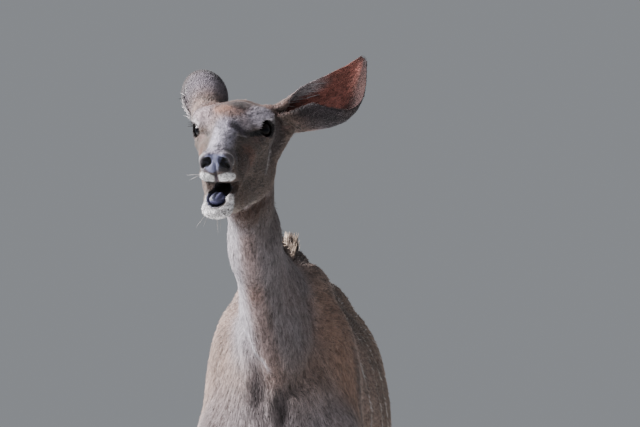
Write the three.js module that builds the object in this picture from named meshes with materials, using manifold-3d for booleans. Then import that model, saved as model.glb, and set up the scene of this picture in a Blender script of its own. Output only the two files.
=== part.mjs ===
// A greater kudu cow at life size, standing square with her head up, ears out and mouth open as she browses.
// The body is one continuous form of blended muscles and bones. Each body part is a skin lofted over that form
// and parted from its neighbours by thin flat cuts. The cow faces -Y, her left side is +X, and she stands on Z = 0.
import * as THREE from "three";
import { mergeVertices } from "three/addons/utils/BufferGeometryUtils.js";
import Module from "manifold-3d";

const wasm = await Module();
wasm.setup();

// Driving dimensions, in millimetres and degrees.
const WITHERS_HEIGHT = 1315;
const CHEST_DEPTH = 525;
const CHEST_HALF_WIDTH = 140;
const BARREL_HALF_WIDTH = 168;
const EYE_HEIGHT = 1527;
const EYE_FORWARD = 515;
const HEAD_ASIDE = 43;
const HEAD_YAW = 2.8;
const HEAD_PITCH = 4;
const GAPE = 9.5;
const JAW_SLEW = 1.7;
const EYE_RADIUS = 21;
const EYE_ASIDE = 45;
const EYE_OUTWARD = 46;
const LID_THICKNESS = 3.4;
const KNEE_HEIGHT = 440;
const HOCK_HEIGHT = 520;
const FORE_TRACK = 90;
const HIND_TRACK = 94;
const TAIL_LENGTH = 400;
const CREST_HEIGHT = 37;
const NAPE_HAIR = 26;
const EAR_LENGTH = 214;
const EAR_WIDTH = 118;
const EAR_WALL = 4.2;
const GAP = 0.3;

const radians = THREE.MathUtils.degToRad;
const mix = THREE.MathUtils.lerp;
const point = (x, y, z) => new THREE.Vector3(x, y, z);
const X_AXIS = point(1, 0, 0);
const Y_AXIS = point(0, 1, 0);
const Z_AXIS = point(0, 0, 1);

// Frames: the body's own, the head's at the midpoint between the eyes, the jaw's, which hangs open from its joint
// and swings a little aside in chewing, and the cheek's, halfway between those two.
const BODY = new THREE.Matrix4();
const HEAD = new THREE.Matrix4()
  .makeTranslation(-HEAD_ASIDE, -EYE_FORWARD, EYE_HEIGHT)
  .multiply(new THREE.Matrix4().makeRotationZ(radians(-HEAD_YAW)))
  .multiply(new THREE.Matrix4().makeRotationX(radians(HEAD_PITCH)));
const JAW_JOINT = point(0, 62, -22);
const hungFromJoint = (share) =>
  HEAD.clone()
    .multiply(new THREE.Matrix4().makeTranslation(...JAW_JOINT))
    .multiply(new THREE.Matrix4().makeRotationZ(radians(-JAW_SLEW * share)))
    .multiply(new THREE.Matrix4().makeRotationX(radians(GAPE * share)))
    .multiply(new THREE.Matrix4().makeTranslation(...JAW_JOINT.clone().negate()));
const JAW = hungFromJoint(1);
const CHEEK = hungFromJoint(0.5);

const inFrame = (frame, x, y, z) => point(x, y, z).applyMatrix4(frame);
const turned = (frame, x, y, z) => point(x, y, z).transformDirection(frame);

// The flesh is a list of soft forms. Each form gives a point's distance outside its surface, negative inside, and
// blends into the forms before it over a stated width.
class Flesh {
  constructor(...earlier) {
    this.forms = earlier.flatMap((flesh) => flesh.forms);
  }

  // A muscle: an ellipsoid with half-sizes across, along and up, tilted nose-down and turned to the left.
  muscle(centre, halfSizes, { tilt = 0, turn = 0, lean = 0, blend = 40, frame = BODY } = {}) {
    const placed = frame
      .clone()
      .multiply(new THREE.Matrix4().makeTranslation(...centre))
      .multiply(
        new THREE.Matrix4().makeRotationFromEuler(
          new THREE.Euler(radians(tilt), radians(lean), radians(turn), "ZYX"),
        ),
      );
    const m = placed.invert().elements;
    const [a, b, c] = halfSizes;
    const distance = (x, y, z) => {
      const u = m[0] * x + m[4] * y + m[8] * z + m[12];
      const v = m[1] * x + m[5] * y + m[9] * z + m[13];
      const w = m[2] * x + m[6] * y + m[10] * z + m[14];
      return roundDistance(u, v, w, a, b, c);
    };
    this.forms.push({ distance, blend });
    return this;
  }

  // A limb: a tapered rod from one point to another, with half-sizes across and deep at each end.
  limb(from, to, sizesFrom, sizesTo, { blend = 25, frame = BODY } = {}) {
    const start = inFrame(frame, ...from);
    const end = inFrame(frame, ...to);
    const along = end.clone().sub(start);
    const length = along.length();
    along.normalize();
    const across = turned(frame, 1, 0, 0);
    across.addScaledVector(along, -across.dot(along)).normalize();
    const deep = along.clone().cross(across);
    const distance = (x, y, z) => {
      const px = x - start.x;
      const py = y - start.y;
      const pz = z - start.z;
      const s = px * along.x + py * along.y + pz * along.z;
      const t = Math.min(1, Math.max(0, s / length));
      const a = mix(sizesFrom[0], sizesTo[0], t);
      const b = mix(sizesFrom[1], sizesTo[1], t);
      const u = px * across.x + py * across.y + pz * across.z;
      const v = px * deep.x + py * deep.y + pz * deep.z;
      return roundDistance(u, v, s - t * length, a, b, Math.min(a, b));
    };
    this.forms.push({ distance, blend });
    return this;
  }

  distance(p) {
    let d = 1e6;
    for (const form of this.forms) {
      const e = form.distance(p.x, p.y, p.z);
      const h = Math.max(0, form.blend - Math.abs(d - e)) / form.blend;
      d = Math.min(d, e) - (h * h * form.blend) / 4;
    }
    return d;
  }
}

// Distance outside an ellipsoid of half-sizes a, b and c, close to the true one near its surface.
function roundDistance(u, v, w, a, b, c) {
  const near = Math.hypot(u / a, v / b, w / c);
  const slope = Math.hypot(u / (a * a), v / (b * b), w / (c * c));
  return slope < 1e-9 ? -Math.min(a, b, c) : (near * (near - 1)) / slope;
}

// Where a ray from inside the flesh first leaves it, or leaves it swollen by a little, no further than reach.
function surfaceFrom(flesh, origin, direction, reach, swell = 0) {
  const step = 7;
  let near = 0;
  let far = step;
  const at = (r) => flesh.distance(origin.clone().addScaledVector(direction, r)) - swell;
  while (far < reach && at(far) < 0) {
    near = far;
    far += step;
  }
  if (far >= reach) return origin.clone().addScaledVector(direction, reach);
  for (let i = 0; i < 14; i++) {
    const middle = (near + far) / 2;
    if (at(middle) < 0) near = middle;
    else far = middle;
  }
  return origin.clone().addScaledVector(direction, far);
}

// A closed mesh from rings of equal count and a point that closes each end. Rings run counterclockwise as seen from
// the last ring's end.
function closedRings(start, rings, end) {
  const count = rings[0].length;
  const points = [start, ...rings.flat(), end];
  const faces = [];
  const at = (ring, i) => 1 + ring * count + (i % count);
  for (let i = 0; i < count; i++) {
    faces.push(0, at(0, i + 1), at(0, i));
    for (let r = 0; r + 1 < rings.length; r++) {
      faces.push(at(r, i), at(r, i + 1), at(r + 1, i + 1));
      faces.push(at(r, i), at(r + 1, i + 1), at(r + 1, i));
    }
    faces.push(points.length - 1, at(rings.length - 1, i), at(rings.length - 1, i + 1));
  }
  const geometry = new THREE.BufferGeometry().setFromPoints(points);
  geometry.setIndex(faces);
  return geometry;
}

// Shares of the way along a part: even, or crowded towards a rounded end.
const evenly = (count) => Array.from({ length: count }, (_, i) => (i + 0.5) / count);
const towardsBoth = (count) => evenly(count).map((t) => (1 - Math.cos(Math.PI * t)) / 2);
const towardsEnd = (count) => evenly(count).map((t) => Math.sin((Math.PI / 2) * t));

// The skin of the flesh round a centre line. Each ring lies in the plane of two axes, given fixed or by the way along.
function skin(flesh, { centres, shares, around, reach, axes, swell = 0 }) {
  const line = new THREE.CatmullRomCurve3(centres, false, "centripetal");
  const rings = shares.map((t) => {
    const centre = line.getPoint(t);
    const [a, b] = axes ?? crossAxes(line.getTangent(t));
    return Array.from({ length: around }, (_, i) => {
      const angle = (2 * Math.PI * i) / around;
      const direction = a
        .clone()
        .multiplyScalar(Math.cos(angle))
        .addScaledVector(b, Math.sin(angle));
      return surfaceFrom(flesh, centre, direction, reach, swell);
    });
  });
  const first = line.getPoint(shares[0]);
  const last = line.getPoint(shares[shares.length - 1]);
  const start = surfaceFrom(flesh, first, line.getTangent(0).negate(), reach, swell);
  const end = surfaceFrom(flesh, last, line.getTangent(1), reach, swell);
  return closedRings(start, rings, end);
}

// Two axes square to a direction, the first as near to across the body as it can be.
function crossAxes(direction) {
  const a = X_AXIS.clone().addScaledVector(direction, -direction.x).normalize();
  return [a, direction.clone().cross(a)];
}

// Solids, and the flat cuts that part them.
function solid(geometry) {
  const plain = new THREE.BufferGeometry();
  plain.setAttribute("position", geometry.getAttribute("position"));
  plain.setIndex(geometry.index);
  const merged = mergeVertices(plain, 1e-3);
  return new wasm.Manifold(
    new wasm.Mesh({
      numProp: 3,
      vertProperties: merged.attributes.position.array,
      triVerts: new Uint32Array(merged.index.array),
    }),
  );
}

const HALF_SPACE_SIZE = 6000;

// The space on one side of a plane, moved into that side by inset.
function beyond({ at, facing }, inset) {
  const normal = facing.clone().normalize();
  const box = new THREE.BoxGeometry(HALF_SPACE_SIZE, HALF_SPACE_SIZE, HALF_SPACE_SIZE);
  const turn = new THREE.Quaternion().setFromUnitVectors(Z_AXIS, normal);
  const centre = at.clone().addScaledVector(normal, HALF_SPACE_SIZE / 2 + inset);
  box.applyQuaternion(turn).translate(centre.x, centre.y, centre.z);
  return solid(box);
}

const block = (planes, inset) =>
  planes.map((plane) => beyond(plane, inset)).reduce((a, b) => a.intersect(b));
const within = (body, ...planes) => body.intersect(block(planes, GAP / 2));
const without = (body, ...planes) => body.subtract(block(planes, -GAP / 2));
const facingAway = ({ at, facing }) => ({ at, facing: facing.clone().negate() });

function largest(body) {
  return body.decompose().reduce((a, b) => (b.volume() > a.volume() ? b : a));
}

// The trunk: ribcage, belly, loin and rump, with the shoulders and thighs that lie on them.
const CHEST_MIDDLE = WITHERS_HEIGHT - 315;

function trunkFlesh() {
  const flesh = new Flesh();
  flesh
    .muscle([0, 90, CHEST_MIDDLE], [CHEST_HALF_WIDTH, 270, CHEST_DEPTH * 0.44])
    .muscle([0, 390, 962], [BARREL_HALF_WIDTH, 330, 254], { blend: 120 })
    .muscle([0, 640, 1015], [118, 270, 184], { blend: 100 })
    .muscle([0, 830, 1060], [92, 190, 158], { blend: 80 })
    .limb([0, -30, 1198], [0, 112, WITHERS_HEIGHT - 48], [38, 52], [33, 42], { blend: 70 })
    .limb([0, 112, WITHERS_HEIGHT - 48], [0, 420, 1194], [27, 36], [28, 32], { blend: 50 })
    .limb([0, 420, 1194], [0, 850, 1188], [30, 34], [38, 46], { blend: 60 })
    .muscle([0, -120, 985], [92, 112, 128], { blend: 90 })
    .limb([0, -150, 880], [0, 250, 775], [26, 30], [40, 22], { blend: 60 })
    .muscle([0, 720, 806], [58, 80, 44], { tilt: -10, blend: 50 });
  for (const side of [-1, 1]) {
    flesh
      .limb([side * 48, 70, 1240], [side * 100, -70, 985], [28, 62], [38, 70], { blend: 50 })
      .muscle([side * 87, 0, 1095], [40, 95, 100], { blend: 40 })
      .muscle([side * 98, -142, 945], [42, 56, 66], { blend: 50 })
      .muscle([side * 103, -10, 905], [38, 118, 96], { tilt: -24, blend: 50 })
      .muscle([side * 42, -132, 888], [42, 62, 92], { blend: 45 })
      .muscle([side * 62, 640, 1136], [20, 46, 26], { blend: 36 })
      .muscle([side * 80, 800, 965], [54, 146, 162], { tilt: 12, blend: 50 })
      .muscle([side * 56, 930, 1046], [50, 80, 120], { tilt: 10, blend: 50 })
      .limb([side * 100, 655, 900], [side * 100, 560, 850], [26, 46], [28, 34], { blend: 60 });
  }
  return flesh;
}

function neckFlesh() {
  const aside = (share) => -HEAD_ASIDE * share;
  return new Flesh()
    .limb([0, -20, 1075], [aside(0.26), -150, 1205], [76, 192], [48, 132], { blend: 80 })
    .limb([aside(0.26), -150, 1205], [aside(0.68), -262, 1335], [48, 132], [39, 92], { blend: 36 })
    .limb([aside(0.68), -262, 1335], [aside(0.93), -350, 1442], [39, 92], [38, 74], { blend: 36 })
    .limb([aside(0.93), -350, 1442], [aside(1), -412, 1512], [38, 74], [44, 60], { blend: 36 });
}

// The head without its lower jaw, in the head's frame: the eyes lie on the X axis and the nose points to -Y.
function skullFlesh() {
  const flesh = new Flesh();
  const soft = (blend) => ({ blend, frame: HEAD });
  flesh
    .muscle([0, 58, 4], [54, 62, 44], soft(30))
    .muscle([0, 2, 10], [54, 60, 35], soft(30))
    .muscle([0, 100, 2], [38, 30, 42], soft(30))
    .limb([0, -20, -24], [0, -150, -47], [42, 46], [26, 28], soft(30))
    .limb([0, -30, 12], [0, -192, -33], [17, 14], [12, 10], soft(26))
    .muscle([0, -178, -50], [28.5, 32, 27], soft(20))
    .muscle([0, -203, -44], [25, 12, 18], soft(14))
    .muscle([0, 34, -78], [36, 60, 36], soft(40));
  for (const side of [-1, 1]) {
    flesh
      .muscle([side * 44, 6, 20], [20, 30, 15], soft(24))
      .muscle([side * 45, 14, -2], [24, 42, 28], soft(20))
      .muscle([side * 25, -66, -46], [14, 52, 25], soft(30))
      .muscle([side * 34, 20, -60], [20, 58, 48], soft(30))
      .muscle([side * 29, 44, -88], [18, 38, 28], soft(30))
      .muscle([side * 39, 82, -46], [19, 32, 58], soft(34))
      .limb([side * 48, -16, -20], [side * 32, -86, -34], [9, 9], [7, 9], soft(22))
      .muscle([side * 19, -199, -38], [11, 14, 12], soft(10))
      .muscle([side * 15.5, -187, -67], [16, 22, 10], soft(12))
      .limb([side * 19, -176, -70], [side * 24, -108, -80], [8, 9], [8, 9], soft(18))
      .muscle([side * 55, 83, 0], [24, 27, 42], soft(26));
  }
  return flesh;
}

function jawFlesh() {
  const flesh = new Flesh();
  const soft = (blend) => ({ blend, frame: JAW });
  flesh
    .limb([0, -10, -98], [0, -150, -94], [26, 16], [19, 12], soft(20))
    .muscle([0, -170, -92], [24, 23, 12], soft(18))
    .limb([0, 10, -82], [0, -122, -87], [26, 38], [19, 24], { blend: 16, frame: CHEEK });
  for (const side of [-1, 1])
    flesh
      .limb([side * 30, 26, -92], [side * 21, -100, -93], [15, 20], [10, 13], soft(22))
      .limb([side * 21, -100, -88], [side * 16, -170, -84], [8, 10], [8, 8], soft(10))
      .limb([side * 30, 6, -80], [side * 20, -86, -80], [11, 34], [8, 22], { blend: 20, frame: CHEEK })
      .limb([side * 20, -92, -82], [side * 17, -152, -90], [8, 18], [7, 8], { blend: 10, frame: CHEEK });
  return flesh;
}

// Legs, for one side. The step moves the foot fore or aft of its square place.
function foreLegFlesh(side, step) {
  const x = side * FORE_TRACK;
  return new Flesh()
    .limb([side * 100, 14, 830], [x, step, KNEE_HEIGHT + 20], [40, 64], [24, 27], { blend: 40 })
    .muscle([side * 100, 2, 735], [34, 52, 84])
    .limb([x, step - 3, KNEE_HEIGHT + 24], [x, step - 3, KNEE_HEIGHT - 26], [28, 31], [24, 27])
    .limb([x, step, KNEE_HEIGHT - 22], [x, step + 4, 168], [17, 20], [16.5, 19])
    .limb([x, step + 20, KNEE_HEIGHT - 22], [x, step + 22, 168], [9, 10], [9, 9])
    .muscle([x, step + 9, 148], [24, 28, 29])
    .limb([x, step + 2, 140], [x, step - 26, 58], [20, 22], [23, 26])
    .muscle([x + 13, step + 40, 122], [8, 9, 13], { blend: 10 })
    .muscle([x - 13, step + 40, 122], [8, 9, 13], { blend: 10 });
}

function hindLegFlesh(side, step) {
  const x = side * HIND_TRACK;
  return new Flesh()
    .muscle([side * 98, 710, 862], [42, 78, 92], { tilt: -20, blend: 40 })
    .limb([side * 102, 752, 850], [x + side * 2, 898 + step, 555], [46, 80], [23, 32], { blend: 50 })
    .muscle([side * 102, 810, 752], [34, 60, 110], { tilt: 24 })
    .limb([side * 98, 872 + step, 720], [x, 957 + step, 552], [12, 22], [12, 14], { blend: 30 })
    .muscle([x, 953 + step, 545], [16, 18, 30])
    .limb([x, 918 + step, 545], [x, 908 + step, 468], [26, 37], [22, 29])
    .limb([x, 905 + step, 470], [x, 892 + step, 178], [17.5, 21], [17, 20])
    .limb([x, 926 + step, 470], [x, 912 + step, 178], [9, 10], [9, 9])
    .muscle([x, 896 + step, 154], [25, 29, 30])
    .limb([x, 888 + step, 145], [x, 856 + step, 58], [20, 22], [23, 26])
    .muscle([x + 13, 926 + step, 126], [8, 9, 13], { blend: 10 })
    .muscle([x - 13, 926 + step, 126], [8, 9, 13], { blend: 10 });
}

const FORE_STEPS = { left: 14, right: -22 };
const HIND_STEPS = { left: -26, right: 30 };
const SIDES = { left: 1, right: -1 };

const trunk = trunkFlesh();
const neck = neckFlesh();
const skull = skullFlesh();
const jaw = jawFlesh();
const foreLegs = { left: foreLegFlesh(1, FORE_STEPS.left), right: foreLegFlesh(-1, FORE_STEPS.right) };
const hindLegs = { left: hindLegFlesh(1, HIND_STEPS.left), right: hindLegFlesh(-1, HIND_STEPS.right) };

// The cuts, each facing the part it keeps.
const plane = (at, facing) => ({ at, facing });
const aboveNeckBase = plane(point(0, -130, 1190), point(0, -0.68, 0.73));
const aboveNeckMiddle = plane(point(0, -262, 1335), point(0, -0.66, 0.75));
const beforeNape = plane(point(0, -432, 1420), point(0, -0.949, 0.316));
const beforeMouthCorner = plane(inFrame(HEAD, 0, -112, 0), turned(HEAD, 0, -1, 0));
const underPalate = plane(inFrame(HEAD, 0, -150, -84), turned(HEAD, 0, 0, -1));
const belowElbow = plane(point(0, 0, 752), point(0, 0, -1));
const beforeGirth = plane(point(0, 200, 0), point(0, -1, 0));
const belowGroin = plane(point(0, 0, 868), point(0, 0, -1));
const behindFlank = plane(point(0, 612, 868), point(0, 0.85, 0.53));
const behindLoin = plane(point(0, 590, 0), point(0, 1, 0));
const belowKnee = plane(point(0, 0, KNEE_HEIGHT), point(0, 0, -1));
const belowHock = plane(point(0, 0, HOCK_HEIGHT), point(0, 0, -1));
const belowCannon = plane(point(0, 0, 186), point(0, 0, -1));
const besideMiddle = (side) => plane(point(0, 0, 0), point(side, 0, 0));

const nodes = new Map();
const keep = (name, body) => nodes.set(name, largest(body));

// Hair stands along the nape and the withers in a thin fin, rooted in the flesh and toothed along its top by locks.
function fin(line, flesh, { count, height, thick, depth }) {
  const rings = evenly(count).map((t, i) => {
    const lean = line.getTangent(t);
    const rise = X_AXIS.clone().cross(lean).normalize();
    const root = surfaceFrom(flesh, line.getPoint(t), rise, 260);
    const tall = height(t) * (i % 2 ? 1 : 0.66);
    const at = (across, up, back) =>
      root.clone().addScaledVector(X_AXIS, across).addScaledVector(rise, up).addScaledVector(lean, back);
    return [
      at(0, tall, tall * 0.35),
      at(thick * 0.34, tall * 0.5, tall * 0.1),
      at(thick * 0.5, -6, 0),
      at(0, -depth, 0),
      at(-thick * 0.5, -6, 0),
      at(-thick * 0.34, tall * 0.5, tall * 0.1),
    ];
  });
  const middleOf = (ring) => ring[2].clone().add(ring[4]).multiplyScalar(0.5);
  const first = middleOf(rings[0]).addScaledVector(line.getTangent(0), -8);
  const last = middleOf(rings[count - 1]).addScaledVector(line.getTangent(1), 8);
  return solid(closedRings(first, rings, last));
}

const NAPE_LINE = [
  point(-HEAD_ASIDE * 0.95, -348, 1440),
  point(-HEAD_ASIDE * 0.68, -262, 1335),
  point(-HEAD_ASIDE * 0.3, -150, 1225),
  point(0, -20, 1200),
];
const WITHERS_LINE = [point(2, 14, 1150), point(2, 110, 1150), point(2, 206, 1150)];

function crest() {
  const flesh = new Flesh(trunk, neck);
  const along = (points) => new THREE.CatmullRomCurve3(points, false, "centripetal");
  const nape = { count: 18, height: () => NAPE_HAIR, thick: 10, depth: 28 };
  const tallest = (t) => CREST_HEIGHT * (1 - (2.3 * (t - 0.42)) ** 2 * 0.62);
  const withers = { count: 15, height: tallest, thick: 24, depth: 34 };
  return fin(along(NAPE_LINE), flesh, nape).add(fin(along(WITHERS_LINE), flesh, withers));
}

// The trunk, as chest, barrel and rump.
const trunkSkin = (swell) => {
  const flesh = new Flesh(trunk, neck, foreLegs.left, foreLegs.right, hindLegs.left, hindLegs.right);
  const breast = surfaceFrom(flesh, point(0, -120, 985), Y_AXIS.clone().negate(), 300);
  const buttock = surfaceFrom(flesh, point(0, 860, 1065), Y_AXIS, 300);
  return solid(
    skin(flesh, {
      centres: [
        breast.setY(breast.y + 1),
        point(0, 90, 1000),
        point(0, 400, 985),
        point(0, 640, 1030),
        buttock.setY(buttock.y - 1),
      ],
      shares: towardsBoth(34),
      around: 26,
      reach: 315,
      axes: [Z_AXIS, X_AXIS],
      swell,
    }),
  );
};

function makeTrunk() {
  let body = trunkSkin(0).add(crest());
  body = without(body, belowElbow, beforeGirth);
  body = without(body, belowGroin, behindFlank);
  body = without(body, aboveNeckBase);
  keep("chest", within(body, beforeGirth));
  keep("barrel", within(body, facingAway(beforeGirth), facingAway(behindLoin)));
  keep("rump", within(body, behindLoin));
}

function makeNeck() {
  const plain = solid(
    skin(new Flesh(trunk, neck, skull), {
      centres: [
        point(0, -40, 1105),
        point(-HEAD_ASIDE * 0.26, -150, 1205),
        point(-HEAD_ASIDE * 0.68, -262, 1335),
        point(-HEAD_ASIDE * 0.93, -350, 1442),
        point(-HEAD_ASIDE, -412, 1512),
        point(-HEAD_ASIDE, -450, 1545),
      ],
      shares: evenly(20),
      around: 26,
      reach: 260,
    }),
  );
  const body = Object.keys(SIDES).reduce((made, name) => made.subtract(earSocket(name)), plain.add(crest()));
  const inNeck = [aboveNeckBase, facingAway(beforeNape)];
  keep("neck_lower", within(body, ...inNeck, facingAway(aboveNeckMiddle)));
  keep("neck_upper", within(body, ...inNeck, aboveNeckMiddle));
}

// The head with its lids, nostrils and the roof of the mouth.
const ball = (radius, x, y, z) => placed(new THREE.IcosahedronGeometry(radius, 2), x, y, z);

function placed(geometry, x, y, z, { scale = [1, 1, 1], turn = [0, 0, 0], frame = HEAD } = {}) {
  const matrix = new THREE.Matrix4().compose(
    point(x, y, z),
    new THREE.Quaternion().setFromEuler(new THREE.Euler(...turn.map(radians))),
    point(...scale),
  );
  return solid(geometry.applyMatrix4(matrix).applyMatrix4(frame));
}

// The opening between the lids: an almond, its inner corner forward and low.
function lidOpening(side) {
  const almond = new THREE.Shape();
  almond.moveTo(-18, -3).quadraticCurveTo(-8, 12, 3, 12).quadraticCurveTo(12, 10, 17, 1);
  almond.quadraticCurveTo(8, -11, -3, -10.5).quadraticCurveTo(-11, -9, -18, -3);
  const prism = new THREE.ExtrudeGeometry(almond, { depth: 40, bevelEnabled: false, curveSegments: 5 });
  if (side < 0) prism.scale(-1, 1, 1).index ?? flipFaces(prism);
  prism.rotateZ(radians(side * 12)).rotateX(radians(90)).translate(0, -4, 0);
  prism.rotateX(radians(-6)).rotateZ(radians(side * EYE_OUTWARD));
  return solid(prism.translate(side * EYE_ASIDE, 0, 0).applyMatrix4(HEAD));
}

function flipFaces(geometry) {
  const position = geometry.getAttribute("position");
  for (let i = 0; i < position.count; i += 3)
    for (const get of ["X", "Y", "Z"]) {
      const kept = position[`get${get}`](i);
      position[`set${get}`](i, position[`get${get}`](i + 1));
      position[`set${get}`](i + 1, kept);
    }
}

const HEAD_FROM = 112;
const HEAD_TO = -214;
const MOUTH_CORNER = -112;
const behindCorner = evenly(19).map((t) => mix(HEAD_FROM, MOUTH_CORNER + 0.5, t));
const beforeCorner = towardsEnd(11).map((t) => mix(MOUTH_CORNER - 0.5, HEAD_TO, t));

function makeHead() {
  const stations = [...behindCorner, MOUTH_CORNER + 0.5, MOUTH_CORNER - 0.5, ...beforeCorner];
  const full = solid(
    skin(new Flesh(neck, skull, jaw), {
      centres: [inFrame(HEAD, 0, HEAD_FROM, 0), inFrame(HEAD, 0, HEAD_TO, -46)],
      shares: stations.map((y) => (HEAD_FROM - y) / (HEAD_FROM - HEAD_TO)),
      around: 30,
      reach: 160,
      axes: [turned(HEAD, 1, 0, 0), turned(HEAD, 0, 0, 1)],
    }),
  );
  let body = without(within(full, beforeNape), beforeMouthCorner, underPalate);
  for (const side of [-1, 1]) {
    body = body
      .add(ball(EYE_RADIUS + LID_THICKNESS, side * EYE_ASIDE, 0, 0))
      .subtract(lidOpening(side))
      .subtract(ball(EYE_RADIUS + GAP, side * EYE_ASIDE, 0, 0))
      .subtract(placed(new THREE.SphereGeometry(1, 12, 8), side * 13.5, -212, -37, {
        scale: [6.5, 15, 8],
        turn: [20, side * -24, side * 24],
      }))
      .subtract(placed(new THREE.SphereGeometry(1, 8, 6), side * 19, -208, -45, {
        scale: [2.6, 10, 7],
        turn: [10, side * 40, side * 30],
      }));
    nodes.set(`eye_${side > 0 ? "left" : "right"}`, ball(EYE_RADIUS, side * EYE_ASIDE, 0, 0));
  }
  body = body.subtract(mouthHollow());
  for (const name of Object.keys(SIDES)) body = body.subtract(earSocket(name));
  keep("head", body);
}

const mouthHollow = () => placed(new THREE.SphereGeometry(1, 14, 8), 0, -122, -95, { scale: [14, 40, 14] });

function makeJaw() {
  const body = solid(
    skin(new Flesh(neck, skull, jaw), {
      centres: [inFrame(JAW, 0, -78, -103), inFrame(JAW, 0, -190, -95)],
      shares: towardsEnd(13),
      around: 20,
      reach: 60,
      axes: [turned(JAW, 1, 0, 0), turned(JAW, 0, 0, 1)],
    }),
  );
  const tongue = (swell) =>
    placed(new THREE.SphereGeometry(1, 14, 8), 0, -142, -80, {
      scale: [12 + swell, 36 + swell, 8 + swell],
      turn: [-12, 0, 0],
      frame: JAW,
    });
  keep("lower_jaw", within(body, beforeMouthCorner, underPalate).subtract(mouthHollow()).subtract(tongue(GAP)));
  keep("tongue", within(tongue(0), beforeMouthCorner));
}

// Ears. Each is a thin leaf curled about its length: nearly a tube at its base, an open cup beyond it.
const EARS = {
  left: { root: [57, 82, 8], along: point(0.71, 0.45, 0.54), cup: point(0.15, -0.8, 0.5), curl: 1, sag: 26 },
  right: { root: [-53, 84, 12], along: point(-0.165, 0.9, 0.35), cup: point(-0.6, 0.2, -0.75), curl: 1.2, sag: 0 },
};
const EAR_SPREAD = [82, 84, 84, 79, 71, 60, 46, 27, 8];
const EAR_CURL = [2.9, 2.8, 2.3, 1.8, 1.45, 1.25, 1.1, 0.95, 0.8];
const EAR_LOW_CURL = 1.35;
const EAR_SOLID_TO = 0.2;

function earFrame(name) {
  const { root, along, cup, curl, sag } = EARS[name];
  const length = along.clone().normalize();
  const open = cup.clone().addScaledVector(length, -cup.dot(length)).normalize();
  const across = open.clone().cross(length);
  const start = inFrame(HEAD, ...root);
  const middle = (u) =>
    start
      .clone()
      .addScaledVector(length, u * EAR_LENGTH)
      .addScaledVector(across, -sag * Math.sin(Math.PI * Math.max(0, u)));
  const spread = (u) => (EAR_WIDTH / 118) * alongList(EAR_SPREAD, u);
  const bend = (u) => Math.min(2.95, curl * alongList(EAR_CURL, u));
  return { length, open, across, middle, bend, radius: (u) => spread(u) / bend(u) };
}

const alongList = (list, share) => {
  const s = Math.min(Math.max(share, 0), 1) * (list.length - 1);
  const i = Math.min(Math.floor(s), list.length - 2);
  return mix(list[i], list[i + 1], s - i);
};

function makeEar(name) {
  const ear = earFrame(name);
  const steps = 11;
  const count = 13;
  const shares = Array.from({ length: count }, (_, i) => 0.02 + 0.98 * (i / (count - 1)));
  const rings = shares.map((u) => {
    const radius = ear.radius(u);
    const outer = [];
    const inner = [];
    for (let i = 0; i <= steps; i++) {
      const v = -1 + (2 * i) / steps;
      const angle = v * Math.min(2.95, ear.bend(u) * (v < 0 ? EAR_LOW_CURL : 1));
      const wall = EAR_WALL * (1 - 0.45 * v * v) * mix(1, 0.6, u);
      const plug = Math.max(0, 1 - u / EAR_SOLID_TO) * (radius - wall - 2);
      const at = (r) =>
        ear
          .middle(u)
          .addScaledVector(ear.across, r * Math.sin(angle))
          .addScaledVector(ear.open, -r * Math.cos(angle));
      outer.push(at(radius));
      inner.unshift(at(radius - wall - plug));
    }
    return [...outer, ...inner];
  });
  const base = ear.middle(0).addScaledVector(ear.length, -3);
  const tip = ear.middle(1).addScaledVector(ear.length, 2).addScaledVector(ear.open, -ear.radius(1));
  keep(`ear_${name}`, solid(closedRings(base, rings, tip)));
}

// The space a head gives up to the root of an ear.
function earSocket(name) {
  const ear = earFrame(name);
  const count = 28;
  const rings = [0, 0.1, 0.2, 0.3].map((u) => {
    const middle = ear.middle(u - 0.002);
    return Array.from({ length: count }, (_, i) => {
      const angle = (2 * Math.PI * i) / count;
      const out = ear.radius(u) / Math.cos(Math.PI / count) + GAP * 1.5;
      return middle
        .clone()
        .addScaledVector(ear.across, out * Math.sin(angle))
        .addScaledVector(ear.open, -out * Math.cos(angle));
    });
  });
  const start = ear.middle(0).addScaledVector(ear.length, -3.5);
  return solid(closedRings(start, rings, ear.middle(0.32)));
}

// Legs, from elbow or thigh down to two hooves.
function makeForeLeg(name) {
  const side = SIDES[name];
  const step = FORE_STEPS[name];
  const x = side * FORE_TRACK;
  const path = [
    [side * 100, 14, 800],
    [side * 98, 8, 690],
    [side * 95, step * 0.7, 560],
    [x, step, 470],
    [x, step - 2, 440],
    [x, step + 4, 405],
    [x, step + 8, 290],
    [x, step + 10, 195],
    [x, step + 10, 150],
    [x, step - 8, 100],
    [x, step - 26, 60],
    [x, step - 33, 34],
  ];
  const body = legSkin(new Flesh(trunk, foreLegs[name]), path, 130, 28);
  const coronet = coronetPlane(x, step - 30);
  const beside = besideMiddle(side);
  keep(`foreleg_${name}`, within(body, belowElbow, beforeGirth, beside, facingAway(belowKnee)));
  keep(`fore_cannon_${name}`, within(body, belowKnee, facingAway(belowCannon)));
  keep(`fore_foot_${name}`, within(body, belowCannon, coronet));
  makeHooves(`fore_hoof_${name}`, x, step, coronet);
}

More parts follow.
